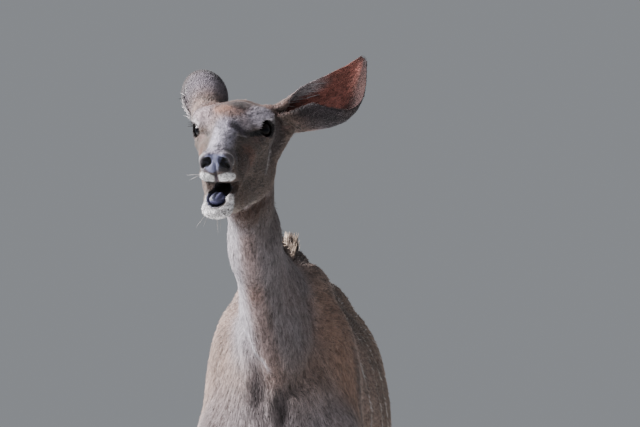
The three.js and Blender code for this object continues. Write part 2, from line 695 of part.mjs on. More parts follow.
function makeHindLeg(name) {
  const side = SIDES[name];
  const step = HIND_STEPS[name];
  const x = side * HIND_TRACK;
  const path = [
    [side * 104, 790, 905],
    [side * 104, 790, 800],
    [side * 102, 835, 700],
    [x + side * 3, 885 + step * 0.8, 600],
    [x, 916 + step, 550],
    [x, 916 + step, 515],
    [x, 910 + step, 460],
    [x, 902 + step, 300],
    [x, 897 + step, 195],
    [x, 897 + step, 155],
    [x, 878 + step, 100],
    [x, 862 + step, 60],
    [x, 855 + step, 34],
  ];
  const body = legSkin(new Flesh(trunk, hindLegs[name]), path, 270, 31);
  const coronet = coronetPlane(x, 858 + step);
  const beside = besideMiddle(side);
  keep(`thigh_${name}`, within(body, belowGroin, behindFlank, beside, facingAway(belowHock)));
  keep(`hind_cannon_${name}`, within(body, belowHock, facingAway(belowCannon)));
  keep(`hind_foot_${name}`, within(body, belowCannon, coronet));
  makeHooves(`hind_hoof_${name}`, x, 888 + step, coronet);
}

const legSkin = (flesh, path, reach, rings) =>
  solid(
    skin(flesh, {
      centres: path.map((at) => point(...at)),
      shares: evenly(rings),
      around: 16,
      reach,
      axes: [X_AXIS, Y_AXIS.clone().negate()],
    }),
  );

const coronetPlane = (x, y) => plane(point(x, y, 40), point(0, 0.28, 1));

// Two pointed hooves under the coronet, flat below, with a slit between them.
const HOOF_LENGTH = 86;
const HOOF_OUTER_WIDTH = 15.5;
const HOOF_INNER_WIDTH = 11.2;
const HOOF_SLOPE = 0.72;

function makeHooves(name, x, y, coronet) {
  for (const side of [-1, 1]) {
    const rings = [0, 3, 24, 62].map((z) => hoofRing(x, y, z, side));
    const body = solid(closedRings(point(x + side * 13, y - 46, 0), rings, point(x + side * 13, y - 20, 64)));
    const place = side * x > 0 ? "outer" : "inner";
    keep(`${name}_${place}`, within(body, facingAway(coronet)));
  }
}

function hoofRing(x, y, z, side) {
  const count = 14;
  const shrink = 1 - 0.0078 * z;
  const toe = y - 90 + HOOF_SLOPE * z - (z === 0 ? -1.5 : 0);
  const length = HOOF_LENGTH * shrink - (z === 0 ? 3 : 0);
  const narrow = 1 - 0.0022 * z - (z === 0 ? 0.06 : 0);
  const ring = Array.from({ length: count }, (_, i) => {
    const angle = (2 * Math.PI * i) / count;
    const along = (1 - Math.cos(angle)) / 2;
    const round = Math.sin(angle);
    const wide = round > 0 ? HOOF_OUTER_WIDTH : HOOF_INNER_WIDTH;
    const across = wide * narrow * Math.sign(round) * Math.abs(round) ** 0.75 * mix(0.86, 1.06, along);
    const toed = (1 - along) * 2.5;
    return point(x + side * (13 + across - toed * 0.6), toe + along * length, z);
  });
  return side > 0 ? ring : ring.reverse();
}

// The tail hangs just clear of the buttocks and ends in a tuft.
const TAIL_PATH = [
  [0, 950, 1150],
  [0, 1002, 1154],
  [0, 1036, 1116],
  [0, 1050, 1040],
  [0, 1052, 940],
  [0, 1048, 1152 - TAIL_LENGTH],
];

function makeTail() {
  const line = new THREE.CatmullRomCurve3(TAIL_PATH.map((at) => point(...at)), false, "centripetal");
  const radii = [24, 23, 21, 18, 19, 22, 24, 21, 12];
  const rings = evenly(20).map((t) => {
    const centre = line.getPoint(t);
    const [a, b] = crossAxes(line.getTangent(t));
    const radius = alongList(radii, t);
    return Array.from({ length: 12 }, (_, i) => {
      const angle = (2 * Math.PI * i) / 12;
      return centre
        .clone()
        .addScaledVector(a, radius * 1.1 * Math.cos(angle))
        .addScaledVector(b, radius * 0.85 * Math.sin(angle));
    });
  });
  const body = solid(closedRings(line.getPoint(0), rings, line.getPoint(1))).subtract(trunkSkin(GAP));
  const tuft = plane(point(0, 0, 960), point(0, 0, -1));
  keep("tail", within(body, facingAway(tuft)));
  keep("tail_tuft", within(body, tuft));
}

makeTrunk();
makeNeck();
makeHead();
makeJaw();
for (const name of Object.keys(SIDES)) {
  makeEar(name);
  makeForeLeg(name);
  makeHindLeg(name);
}
makeTail();

// Materials and the finished group, with the middle of its footprint at the origin.
const finish = (color, roughness) => new THREE.MeshStandardMaterial({ color, roughness, metalness: 0 });
const COAT = finish(0x8d7f78, 0.9);
const HORN = finish(0x2e2a29, 0.5);
const EYE = finish(0x1a1210, 0.1);
const TONGUE = finish(0x7e8299, 0.5);
const materialFor = (name) => {
  if (name.includes("hoof")) return HORN;
  if (name.startsWith("eye")) return EYE;
  return name === "tongue" ? TONGUE : COAT;
};

const group = new THREE.Group();
for (const [name, body] of nodes) {
  const mesh = body.getMesh();
  const geometry = new THREE.BufferGeometry();
  geometry.setAttribute("position", new THREE.BufferAttribute(mesh.vertProperties, 3));
  geometry.setIndex(new THREE.BufferAttribute(mesh.triVerts, 1));
  const made = new THREE.Mesh(geometry, materialFor(name));
  made.name = name;
  group.add(made);
}
const bounds = new THREE.Box3().setFromObject(group);
const middle = bounds.getCenter(point(0, 0, 0));
for (const made of group.children) made.geometry.translate(-middle.x, -middle.y, -bounds.min.z);

export default group;
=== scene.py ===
"""A greater kudu cow at life size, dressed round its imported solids.

One skin is grown over the same blended muscles and bones that the solids are cut from. Short coat, mane, withers
crest, tail hair, whiskers and lashes are mesh tufts rooted in that skin. Body sizes are in millimetres in the cow's
own frame, which faces -Y with her left side at +X. Blender's objects are in metres in the frame of the solids.
"""

from __future__ import annotations

import logging
import math
from dataclasses import dataclass, field
from enum import Enum
from typing import Callable, Sequence

import bpy
import numpy as np
from mathutils import Matrix, Vector


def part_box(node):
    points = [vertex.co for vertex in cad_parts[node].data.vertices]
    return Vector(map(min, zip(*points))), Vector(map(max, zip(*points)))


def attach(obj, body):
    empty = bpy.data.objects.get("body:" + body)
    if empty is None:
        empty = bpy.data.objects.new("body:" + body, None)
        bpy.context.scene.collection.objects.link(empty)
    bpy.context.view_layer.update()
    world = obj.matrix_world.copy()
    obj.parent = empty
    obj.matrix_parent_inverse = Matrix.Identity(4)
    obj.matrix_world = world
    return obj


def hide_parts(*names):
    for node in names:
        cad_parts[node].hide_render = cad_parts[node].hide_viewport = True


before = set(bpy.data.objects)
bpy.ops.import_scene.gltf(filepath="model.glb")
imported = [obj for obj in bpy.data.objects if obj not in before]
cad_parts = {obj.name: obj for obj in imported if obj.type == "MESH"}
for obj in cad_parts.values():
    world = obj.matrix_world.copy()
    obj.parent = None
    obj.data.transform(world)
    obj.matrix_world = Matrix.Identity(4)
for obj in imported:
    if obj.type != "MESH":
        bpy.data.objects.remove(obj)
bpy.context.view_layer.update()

LOG = logging.getLogger("kudu")
Array = np.ndarray
Point = Sequence[float]
Triple = tuple[float, float, float]

HEAD_ASIDE = 43.0
EYE_FORWARD = 515.0
EYE_HEIGHT = 1527.0
HEAD_YAW = 2.8
HEAD_PITCH = 4.0
GAPE = 9.5
JAW_SLEW = 1.7
JAW_JOINT = (0.0, 62.0, -22.0)
WITHERS_HEIGHT = 1315.0
KNEE_HEIGHT = 440.0
EYE_RADIUS = 21.0
FAR_AWAY = 200.0
BLEND_ROOM = 14.0
EYE_ASIDE = 45.0
EYE_OUTWARD = 46.0
LID_THICKNESS = 3.6
SIDES = {"left": 1, "right": -1}


def box_middle(node: str) -> Array:
    """Returns the middle of a solid's box, in metres."""
    low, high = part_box(node)
    return (np.array(low) + np.array(high)) / 2


EYES_MIDDLE = (box_middle("eye_left") + box_middle("eye_right")) / 2
ROW_SHIFT = EYES_MIDDLE - np.array([-HEAD_ASIDE, -EYE_FORWARD, EYE_HEIGHT]) / 1000


def to_row(points: Array) -> Array:
    """Returns points of the cow's own frame, in millimetres, as metres in the frame of the solids."""
    return np.asarray(points, float) / 1000 + ROW_SHIFT


def turn_about(axis: str, degrees: float) -> Array:
    """Returns a 4x4 rotation about one axis."""
    return np.array(Matrix.Rotation(math.radians(degrees), 4, axis))


def moved(x: float, y: float, z: float) -> Array:
    """Returns a 4x4 translation."""
    return np.array(Matrix.Translation((x, y, z)))


BODY = np.eye(4)
HEAD = moved(-HEAD_ASIDE, -EYE_FORWARD, EYE_HEIGHT) @ turn_about("Z", -HEAD_YAW) @ turn_about("X", HEAD_PITCH)


def hung_from_joint(share: float) -> Array:
    """Returns the frame that hangs from the jaw's joint by a share of the gape.

    Args:
        share: how much of the gape it takes.

    Returns:
        The frame, from its own to the cow's.
    """
    joint = Vector(JAW_JOINT)
    swing = turn_about("Z", -JAW_SLEW * share) @ turn_about("X", GAPE * share)
    return HEAD @ moved(*joint) @ swing @ moved(*-joint)


JAW = hung_from_joint(1.0)
CHEEK = hung_from_joint(0.5)


def in_frame(place: Array, points: Point | Array) -> Array:
    """Returns points of one frame as points of the cow's own frame."""
    return np.asarray(points, float) @ place[:3, :3].T + place[:3, 3]


def into_frame(place: Array, points: Array) -> Array:
    """Returns points of the cow's own frame as points of another frame."""
    return (points - place[:3, 3]) @ place[:3, :3]


def unit(vectors: Array) -> Array:
    """Returns vectors at length one."""
    vectors = np.asarray(vectors, float)
    return vectors / np.maximum(np.linalg.norm(vectors, axis=-1, keepdims=True), 1e-9)


def mirrored(points: Array) -> Array:
    """Returns points with those of the right side moved to the left."""
    return np.concatenate([np.abs(points[:, :1]), points[:, 1:]], 1)


def smooth(low: float, high: float, value: Array) -> Array:
    """Returns 0 below low, 1 above high and a smooth step between."""
    t = np.clip((value - low) / (high - low), 0, 1)
    return t * t * (3 - 2 * t)


@dataclass
class Form:
    """One soft form: its distance, its box and how it joins the forms before it."""

    distance: Callable[[Array, Array, Array], Array]
    low: Array
    high: Array
    blend: float
    carves: bool = False


def round_distance(u: Array, v: Array, w: Array, a: Array, b: Array, c: Array) -> Array:
    """Returns about how far points are outside an ellipsoid of half-sizes a, b and c.

    Args:
        u, v, w: the points, from its middle and along its axes.
        a, b, c: its half-sizes.

    Returns:
        Distances, negative inside.
    """
    near = np.sqrt((u / a) ** 2 + (v / b) ** 2 + (w / c) ** 2)
    slope = np.sqrt((u / a**2) ** 2 + (v / b**2) ** 2 + (w / c**2) ** 2)
    return near * (near - 1) / np.maximum(slope, 1e-6)


class Flesh:
    """Soft forms blended into one body. Distances are in millimetres and negative inside."""

    def __init__(self, *earlier: Flesh, place: Array = BODY) -> None:
        """Starts with the forms of earlier flesh and the frame in which forms are given."""
        self.forms: list[Form] = [form for flesh in earlier for form in flesh.forms]
        self.place = place

    def muscle(
        self, centre: Point, half_sizes: Point, tilt: float = 0, turn: float = 0, lean: float = 0,
        blend: float = 40, place: Array | None = None, carves: bool = False,
    ) -> Flesh:
        """Adds an ellipsoid with half-sizes across, along and up.

        Args:
            centre: its middle, in the frame of place.
            half_sizes: its half-sizes.
            tilt: degrees about X.
            turn: degrees about Z.
            lean: degrees about Y.
            blend: the width over which it joins what is there.
            place: the frame that it is set in, where it isn't this flesh's own.
            carves: whether it is cut away.

        Returns:
            This flesh.
        """
        place = self.place if place is None else place
        turned = turn_about("Z", turn) @ turn_about("Y", lean) @ turn_about("X", tilt)
        local = place @ moved(*centre) @ turned
        back = np.linalg.inv(local)
        a, b, c = half_sizes

        def distance(x: Array, y: Array, z: Array) -> Array:
            u, v, w = (back[i, 0] * x + back[i, 1] * y + back[i, 2] * z + back[i, 3] for i in range(3))
            return round_distance(u, v, w, a, b, c)

        reach = np.sqrt(((local[:3, :3] * np.array(half_sizes)) ** 2).sum(1))
        self.forms.append(Form(distance, local[:3, 3] - reach, local[:3, 3] + reach, blend, carves))
        return self

    def limb(
        self, start: Point, end: Point, sizes_start: Point, sizes_end: Point,
        blend: float = 25, place: Array | None = None, carves: bool = False,
    ) -> Flesh:
        """Adds a tapered rod, with half-sizes across and deep at each end.

        Args:
            start: one end, in the frame of place.
            end: the other end.
            sizes_start: half-sizes at the start.
            sizes_end: half-sizes at the end.
            blend: the width over which it joins what is there.
            place: the frame that it is set in, where it isn't this flesh's own.
            carves: whether it is cut away.

        Returns:
            This flesh.
        """
        place = self.place if place is None else place
        p = in_frame(place, start)
        q = in_frame(place, end)
        length = float(np.linalg.norm(q - p))
        along = (q - p) / length
        across = place[:3, 0] - along * float(place[:3, 0] @ along)
        across = across / np.linalg.norm(across)
        deep = np.cross(along, across)

        def distance(x: Array, y: Array, z: Array) -> Array:
            dx, dy, dz = x - p[0], y - p[1], z - p[2]
            s = dx * along[0] + dy * along[1] + dz * along[2]
            t = np.clip(s / length, 0, 1)
            a = sizes_start[0] + (sizes_end[0] - sizes_start[0]) * t
            b = sizes_start[1] + (sizes_end[1] - sizes_start[1]) * t
            u = dx * across[0] + dy * across[1] + dz * across[2]
            v = dx * deep[0] + dy * deep[1] + dz * deep[2]
            return round_distance(u, v, s - t * length, a, b, np.minimum(a, b))

        widest = max(*sizes_start, *sizes_end)
        self.forms.append(Form(distance, np.minimum(p, q) - widest, np.maximum(p, q) + widest, blend, carves))
        return self

    def carve(self, distance: Callable[[Array, Array, Array], Array], low: Array, high: Array, blend: float) -> Flesh:
        """Cuts away the space where a distance is negative."""
        self.forms.append(Form(distance, low, high, blend, True))
        return self

    @staticmethod
    def joined(d: Array, e: Array, form: Form) -> Array:
        """Returns the distance once a form has been added or cut away.

        Args:
            d: distances so far.
            e: distances to the form.
            form: how it joins.

        Returns:
            The new distances.
        """
        if form.carves:
            h = np.maximum(0, form.blend - np.abs(d + e)) / form.blend
            return np.maximum(d, -e) + h * h * form.blend / 4
        h = np.maximum(0, form.blend - np.abs(d - e)) / form.blend
        return np.minimum(d, e) - h * h * form.blend / 4

    def on_grid(self, axes: Sequence[Array]) -> Array:
        """Returns distances on a grid of three axes.

        Args:
            axes: the grid's axes, in millimetres.

        Returns:
            A distance at each crossing.
        """
        d = np.full([len(a) for a in axes], FAR_AWAY, np.float32)
        for form in self.forms:
            pad = form.blend + BLEND_ROOM
            spans = [
                slice(int(np.searchsorted(a, lo - pad)), int(np.searchsorted(a, hi + pad)))
                for a, lo, hi in zip(axes, form.low, form.high)
            ]
            if any(s.stop <= s.start for s in spans):
                continue
            x, y, z = (a[s].astype(np.float32) for a, s in zip(axes, spans))
            e = form.distance(x[:, None, None], y[None, :, None], z[None, None, :])
            d[tuple(spans)] = self.joined(d[tuple(spans)], e, form)
        return d

    def at(self, points: Array) -> Array:
        """Returns distances at points.

        Args:
            points: places in the cow's own frame.

        Returns:
            A distance at each point.
        """
        d = np.full(len(points), FAR_AWAY)
        for form in self.forms:
            pad = form.blend + BLEND_ROOM
            near = ((points > form.low - pad) & (points < form.high + pad)).all(1)
            if near.any():
                x, y, z = points[near].T
                d[near] = self.joined(d[near], form.distance(x, y, z), form)
        return d

    def slopes(self, points: Array, step: float = 1.0) -> Array:
        """Returns the direction in which the distance grows, at points."""
        offsets = np.eye(3) * step
        return np.stack([self.at(points + o) - self.at(points - o) for o in offsets], 1) / (2 * step)


def trunk_flesh() -> Flesh:
    """Returns ribcage, belly, loin and rump, with the shoulders and thighs that lie on them."""
    flesh = Flesh()
    flesh.muscle((0, 90, 1000), (140, 270, 231))
    flesh.muscle((0, 390, 962), (168, 330, 254), blend=120)
    flesh.muscle((0, 640, 1015), (118, 270, 184), blend=100)
    flesh.muscle((0, 830, 1060), (92, 190, 158), blend=80)
    flesh.limb((0, -30, 1198), (0, 112, WITHERS_HEIGHT - 48), (38, 52), (33, 42), blend=70)
    flesh.limb((0, 112, WITHERS_HEIGHT - 48), (0, 420, 1194), (27, 36), (28, 32), blend=50)
    flesh.limb((0, 420, 1194), (0, 850, 1188), (30, 34), (38, 46), blend=60)
    flesh.muscle((0, -120, 985), (92, 112, 128), blend=90)
    flesh.limb((0, -150, 880), (0, 250, 775), (26, 30), (40, 22), blend=60)
    flesh.muscle((0, 720, 806), (58, 80, 44), tilt=-10, blend=50)
    for s in SIDES.values():
        flesh.limb((s * 48, 70, 1240), (s * 100, -70, 985), (28, 62), (38, 70), blend=50)
        flesh.muscle((s * 87, 0, 1095), (40, 95, 100), blend=40)
        flesh.muscle((s * 98, -142, 945), (42, 56, 66), blend=50)
        flesh.muscle((s * 103, -10, 905), (38, 118, 96), tilt=-24, blend=50)
        flesh.muscle((s * 42, -132, 888), (42, 62, 92), blend=45)
        flesh.muscle((s * 62, 640, 1136), (20, 46, 26), blend=36)
        flesh.muscle((s * 80, 800, 965), (54, 146, 162), tilt=12, blend=50)
        flesh.muscle((s * 56, 930, 1046), (50, 80, 120), tilt=10, blend=50)
        flesh.limb((s * 100, 655, 900), (s * 100, 560, 850), (26, 46), (28, 34), blend=60)
    return flesh


def neck_flesh() -> Flesh:
    """Returns the neck, which leaves the withers and swings to the cow's right as it climbs."""
    bends = [
        (0, -20, 1075, 76, 192),
        (0.26, -150, 1205, 48, 132),
        (0.68, -262, 1335, 39, 92),
        (0.93, -350, 1442, 38, 74),
        (1, -412, 1512, 44, 60),
    ]
    flesh = Flesh()
    for i, ((a, y0, z0, w0, d0), (b, y1, z1, w1, d1)) in enumerate(zip(bends, bends[1:])):
        start = (-HEAD_ASIDE * a, y0, z0)
        end = (-HEAD_ASIDE * b, y1, z1)
        flesh.limb(start, end, (w0, d0), (w1, d1), blend=36 if i else 80)
    flesh.limb((-4, -372, 1440), (-5, -325, 1388), (16, 18), (14, 18), blend=24)
    return flesh


def skull_flesh() -> Flesh:
    """Returns the head without its lower jaw, in the head's frame."""
    flesh = Flesh(place=HEAD)
    flesh.muscle((0, 58, 1), (54, 62, 41), blend=30)
    flesh.muscle((0, 2, 10), (54, 60, 35), blend=30)
    flesh.muscle((0, 100, 0), (38, 30, 40), blend=30)
    flesh.limb((0, -20, -24), (0, -150, -47), (42, 46), (26, 28), blend=30)
    flesh.limb((0, -30, 12), (0, -192, -33), (17, 14), (12, 10), blend=26)
    flesh.muscle((0, -178, -50), (28.5, 32, 27), blend=20)
    flesh.muscle((0, -203, -44), (25, 12, 18), blend=14)
    flesh.muscle((0, 34, -78), (36, 60, 36), blend=40)
    for s in SIDES.values():
        flesh.muscle((s * 44, 6, 20), (20, 30, 15), blend=24)
        flesh.muscle((s * 45, 14, -2), (24, 42, 28), blend=20)
        flesh.muscle((s * 25, -66, -46), (14, 52, 25), blend=30)
        flesh.muscle((s * 34, 20, -60), (20, 58, 48), blend=30)
        flesh.muscle((s * 29, 44, -88), (18, 38, 28), blend=30)
        flesh.muscle((s * 39, 82, -46), (19, 32, 58), blend=34)
        flesh.limb((s * 45.5, -16, -20), (s * 30, -86, -34), (8.5, 9), (6.5, 9), blend=22)
        flesh.muscle((s * 18 + 1, -199, -38), (10.5, 14, 12), blend=10)
        flesh.muscle((s * 14.5, -186, -64), (14.2, 21, 8), blend=12)
        flesh.limb((s * 19, -172, -66), (s * 24, -108, -80), (7, 7), (8, 9), blend=18)
        flesh.muscle((s * 55, 83, -3.5 - s * 3.5), (24, 27, 42), blend=26)
    flesh.limb((64, 64, -36), (88, 76, -5), (6, 10), (9, 10), blend=20)
    return flesh


def jaw_flesh() -> Flesh:
    """Returns the open lower jaw and the cheeks that stretch to it."""
    flesh = Flesh(place=JAW)
    flesh.limb((0, -10, -98), (0, -150, -94), (26, 16), (19, 12), blend=20)
    flesh.muscle((0, -170, -92), (24, 23, 12), blend=18)
    flesh.limb((0, 10, -82), (0, -122, -87), (26, 38), (19, 24), blend=16, place=CHEEK)
    for s in SIDES.values():
        flesh.limb((s * 30, 26, -92), (s * 21, -100, -93), (15, 20), (10, 13), blend=22)
        flesh.limb((s * 21, -100, -88), (s * 16, -170, -84), (8, 10), (8, 8), blend=10)
        flesh.limb((s * 30, 6, -80), (s * 20, -86, -80), (11, 34), (8, 22), blend=20, place=CHEEK)
        flesh.limb((s * 20, -92, -82), (s * 17, -152, -90), (8, 18), (7, 8), blend=10, place=CHEEK)
    return flesh


def fore_leg_flesh(side: int, step: float) -> Flesh:
    """Returns one foreleg below the shoulder, with its foot a step fore or aft of square.

    Args:
        side: 1 for the left and -1 for the right.
        step: how far aft its foot stands.

    Returns:
        The leg's flesh.
    """
    x = side * 90
    knee = KNEE_HEIGHT
    flesh = Flesh()
    flesh.limb((side * 100, 14, 830), (x, step, knee + 20), (40, 64), (24, 27), blend=40)
    flesh.muscle((side * 100, 2, 735), (34, 52, 84))
    flesh.limb((x, step - 3, knee + 24), (x, step - 3, knee - 26), (28, 31), (24, 27))
    flesh.limb((x, step, knee - 22), (x, step + 4, 168), (17, 20), (16.5, 19))
    flesh.limb((x, step + 20, knee - 22), (x, step + 22, 168), (9, 10), (9, 9))
    flesh.muscle((x, step + 9, 148), (24, 28, 29))
    flesh.limb((x, step + 2, 140), (x, step - 26, 58), (20, 22), (23, 26))
    for dewclaw in (-13, 13):
        flesh.muscle((x + dewclaw, step + 40, 122), (8, 9, 13), blend=10)
    return flesh


def hind_leg_flesh(side: int, step: float) -> Flesh:
    """Returns one hind leg below the thigh, with its foot a step fore or aft of square.

    Args:
        side: 1 for the left and -1 for the right.
        step: how far aft its foot stands.

    Returns:
        The leg's flesh.
    """
    x = side * 94
    flesh = Flesh()
    flesh.muscle((side * 98, 710, 862), (42, 78, 92), tilt=-20, blend=40)
    flesh.limb((side * 102, 752, 850), (x + side * 2, 898 + step, 555), (46, 80), (23, 32), blend=50)
    flesh.muscle((side * 102, 810, 752), (34, 60, 110), tilt=24)
    flesh.limb((side * 98, 872 + step, 720), (x, 957 + step, 552), (12, 22), (12, 14), blend=30)
    flesh.muscle((x, 953 + step, 545), (16, 18, 30))
    flesh.limb((x, 918 + step, 545), (x, 908 + step, 468), (26, 37), (22, 29))
    flesh.limb((x, 905 + step, 470), (x, 892 + step, 178), (17.5, 21), (17, 20))
    flesh.limb((x, 926 + step, 470), (x, 912 + step, 178), (9, 10), (9, 9))
    flesh.muscle((x, 896 + step, 154), (25, 29, 30))
    flesh.limb((x, 888 + step, 145), (x, 856 + step, 58), (20, 22), (23, 26))
    for dewclaw in (-13, 13):
        flesh.muscle((x + dewclaw, 926 + step, 126), (8, 9, 13), blend=10)
    return flesh


FORE_STEPS = {"left": 14, "right": -22}
HIND_STEPS = {"left": -26, "right": 30}


class Part(Enum):
    """The parts of the coat, which differ in colour, lie and length."""

    HEAD = 0
    NECK = 1
    TRUNK = 2
    FORE_LEFT = 3
    FORE_RIGHT = 4
    HIND_LEFT = 5
    HIND_RIGHT = 6
    TAIL = 7
    EAR_LEFT = 8
    EAR_RIGHT = 9


def lid_opening(side: int) -> Callable[[Array, Array, Array], Array]:
    """Returns the distance to the almond-shaped opening between the lids of one eye.

    Args:
        side: 1 for the left and -1 for the right.

    Returns:
        A function of x, y and z, negative in the opening.
    """
    half_wide, half_high, back_tilt = 20.0, (15.0 if side > 0 else 12.5), 14.0
    lift = 1.0 if side > 0 else -2.5
    radius = (half_wide**2 + half_high**2) / (2 * half_high)
    rise = radius - half_high
    place = HEAD @ moved(side * EYE_ASIDE, 0, 0) @ turn_about("Z", side * EYE_OUTWARD)
    place = place @ turn_about("X", -6) @ turn_about("Y", -side * back_tilt)
    back = np.linalg.inv(place)

    def distance(x: Array, y: Array, z: Array) -> Array:
        u, v, w = (back[i, 0] * x + back[i, 1] * y + back[i, 2] * z + back[i, 3] for i in range(3))
        upper = np.sqrt((u * 0.98) ** 2 + (w + rise - lift) ** 2) - radius
        lower = np.sqrt((u * 0.98) ** 2 + (w - rise - lift) ** 2) - radius
        return np.maximum(np.maximum(upper, lower), v + 6)

    return distance


THROAT_CREASE = [(-24, 94, -150), (-2, 97, -154), (14, 101, -150), (27, 110, -141), (38, 132, -131)]
MOUTH_ABOVE = ((0, -122, -95), (14, 40, 14))
MOUTH_BELOW = ((-2, -153, -72), (14.5, 33, 14.3))
MOUTH_CORNER = ((14, -158, -84), (25, -127, -87))
NOSTRILS = [
    ((14.5, -214, -41), (7.2, 15, 7.8), 20, 24, -24),
    ((21, -208, -47), (3, 9, 6), 0, 34, -40),
]


def on_side(side: int, point: Point) -> Triple:
    """Returns a point given on the left, on a side of the face."""
    return (side * point[0], point[1], point[2])


def face_details(flesh: Flesh) -> Flesh:
    """Adds lids, brows, lip lobes and creases, and cuts nostrils, eyes and mouth.

    Args:
        flesh: what they are added to.

    Returns:
        The same flesh.
    """
    flesh.place = HEAD
    ball = EYE_RADIUS + LID_THICKNESS
    for s in SIDES.values():
        flesh.muscle((s * EYE_ASIDE, 0, 0), (ball, ball, ball), blend=5)
        flesh.muscle((s * 15, -199, -66.5), (12, 10, 7.2), lean=s * 6, blend=5)
        flesh.limb((s * 14, -214, -30), (s * 23, -203, -38), (3.5, 4), (3.5, 5), blend=7)
        flesh.limb((s * 28, -22, 22), (s * 62, 4, 26), (4.5, 4.5), (4, 5), blend=14)
        flesh.limb((s * 33, -40, -16), (s * 57, -14, -25), (2.5, 3), (2.5, 3), blend=10)
    flesh.muscle(*MOUTH_ABOVE, blend=6, carves=True)
    flesh.muscle(*MOUTH_BELOW, blend=6, place=JAW, carves=True)
    for s in SIDES.values():
        start, end = (on_side(s, point) for point in MOUTH_CORNER)
        flesh.limb(start, end, (7, 8), (8, 8), blend=5, carves=True)
    flesh.muscle((0, -214, -60), (1.4, 9, 15), blend=5, carves=True)
    flesh.muscle((0, -209, -73), (3.4, 10, 11), blend=5, carves=True)
    for a, b in zip(THROAT_CREASE, THROAT_CREASE[1:]):
        flesh.limb(a, b, (4, 4), (4, 4), blend=14, carves=True)
    low = in_frame(HEAD, (0, 0, 0)) - 75
    room = EYE_RADIUS + 0.4
    for s in SIDES.values():
        for centre, sizes, tilt, turn, lean in NOSTRILS:
            flesh.muscle(on_side(s, centre), sizes, tilt, s * turn, s * lean, blend=4, carves=True)
        flesh.carve(lid_opening(s), low, low + 150, 1.5)
        flesh.muscle((s * EYE_ASIDE, 0, 0), (room, room, room), blend=1, carves=True)
    return flesh


NECK_CREASES = {
    1: [(30, -138, 1278), (58, -88, 1221), (76, -112, 1165), (75, -158, 1115), (52, -208, 1078), (20, -236, 1062)],
    -1: [(-82, -60, 1215), (-70, -160, 1190), (-52, -234, 1158), (-30, -248, 1112), (-8, -240, 1075)],
}
CHEST_HOLLOWS = [((-29, -240, 1066), (13, 12, 30), -14), ((18, -240, 1026), (11, 12, 34), 4)]


def chest_details(flesh: Flesh) -> Flesh:
    """Cuts the creases where the neck lies on the shoulders and the two hollows of the chest.

    Args:
        flesh: what they are cut in.

    Returns:
        The same flesh.
    """
    for line in NECK_CREASES.values():
        last = len(line) - 2
        for i, (a, b) in enumerate(zip(line, line[1:])):
            start, end = (3.5 if i == 0 else 6, 3.5 if i == last else 6)
            flesh.limb(a, b, (start, start), (end, end), blend=20, carves=True)
    for centre, sizes, lean in CHEST_HOLLOWS:
        flesh.muscle(centre, sizes, lean=lean, blend=18, carves=True)
    return flesh


def grid_axis(stops: Sequence[tuple[float, float]], end: float) -> Array:
    """Returns a grid axis whose spacing changes at each stop.

    Args:
        stops: pairs of where a stretch starts and its spacing.
        end: where the last stretch ends.

    Returns:
        The axis, in millimetres.
    """
    values = []
    for (start, spacing), (stop, _) in zip(stops, [*stops[1:], (end, 0)]):
        count = max(1, round((stop - start) / spacing))
        values.append(np.linspace(start, stop, count, endpoint=False))
    return np.concatenate([*values, [end]])


def surface_net(axes: Sequence[Array], d: Array) -> tuple[Array, Array]:
    """Returns the points and quads of the surface where d is zero.

    Args:
        axes: the grid's three axes.
        d: distances on the grid.

    Returns:
        Points, and quads that face where d is positive.
    """
    inside = d < 0
    cells_shape = tuple(n - 1 for n in d.shape)
    count = np.zeros(cells_shape, np.int8)
    for corner in np.ndindex(2, 2, 2):
        count += inside[tuple(slice(c, c + n) for c, n in zip(corner, cells_shape))]
    active = (count > 0) & (count < 8)
    cells = np.argwhere(active)
    index = np.full(cells_shape, -1, np.int32)
    index[active] = np.arange(len(cells))
    total = np.zeros((len(cells), 3))
    hits = np.zeros(len(cells))
    for axis in range(3):
        b, c = (axis + 1) % 3, (axis + 2) % 3
        for p, q in np.ndindex(2, 2):
            first = cells.copy()
            first[:, b] += p
            first[:, c] += q
            second = first.copy()
            second[:, axis] += 1
            d0, d1 = d[tuple(first.T)], d[tuple(second.T)]
            cross = (d0 < 0) != (d1 < 0)
            share = (d0[cross] / (d0[cross] - d1[cross]))[:, None]
            p0 = np.stack([axes[k][first[cross, k]] for k in range(3)], 1)
            p1 = np.stack([axes[k][second[cross, k]] for k in range(3)], 1)
            total[cross] += p0 + (p1 - p0) * share
            hits[cross] += 1
    quads = []
    for axis in range(3):
        b, c = np.eye(3, dtype=int)[(axis + 1) % 3], np.eye(3, dtype=int)[(axis + 2) % 3]
        ahead = [slice(None)] * 3
        behind = [slice(None)] * 3
        ahead[axis], behind[axis] = slice(1, None), slice(None, -1)
        edges = np.argwhere(inside[tuple(ahead)] != inside[tuple(behind)])
        around = [index[tuple((edges - shift).T)] for shift in (0 * b, b, b + c, c)]
        quad = np.stack(around, 1)
        outward = inside[tuple(edges.T)]
        quad[~outward] = quad[~outward][:, ::-1]
        quads.append(quad)
    return total / hits[:, None], np.concatenate(quads)


EAR_LENGTH = 214.0
EAR_SPREAD = (82, 84, 84, 79, 71, 60, 46, 27, 8)
EAR_CURL = (2.9, 2.8, 2.3, 1.8, 1.45, 1.25, 1.1, 0.95, 0.8)
EAR_LOW_CURL = 1.35
EAR_MOST_CURL = 2.95


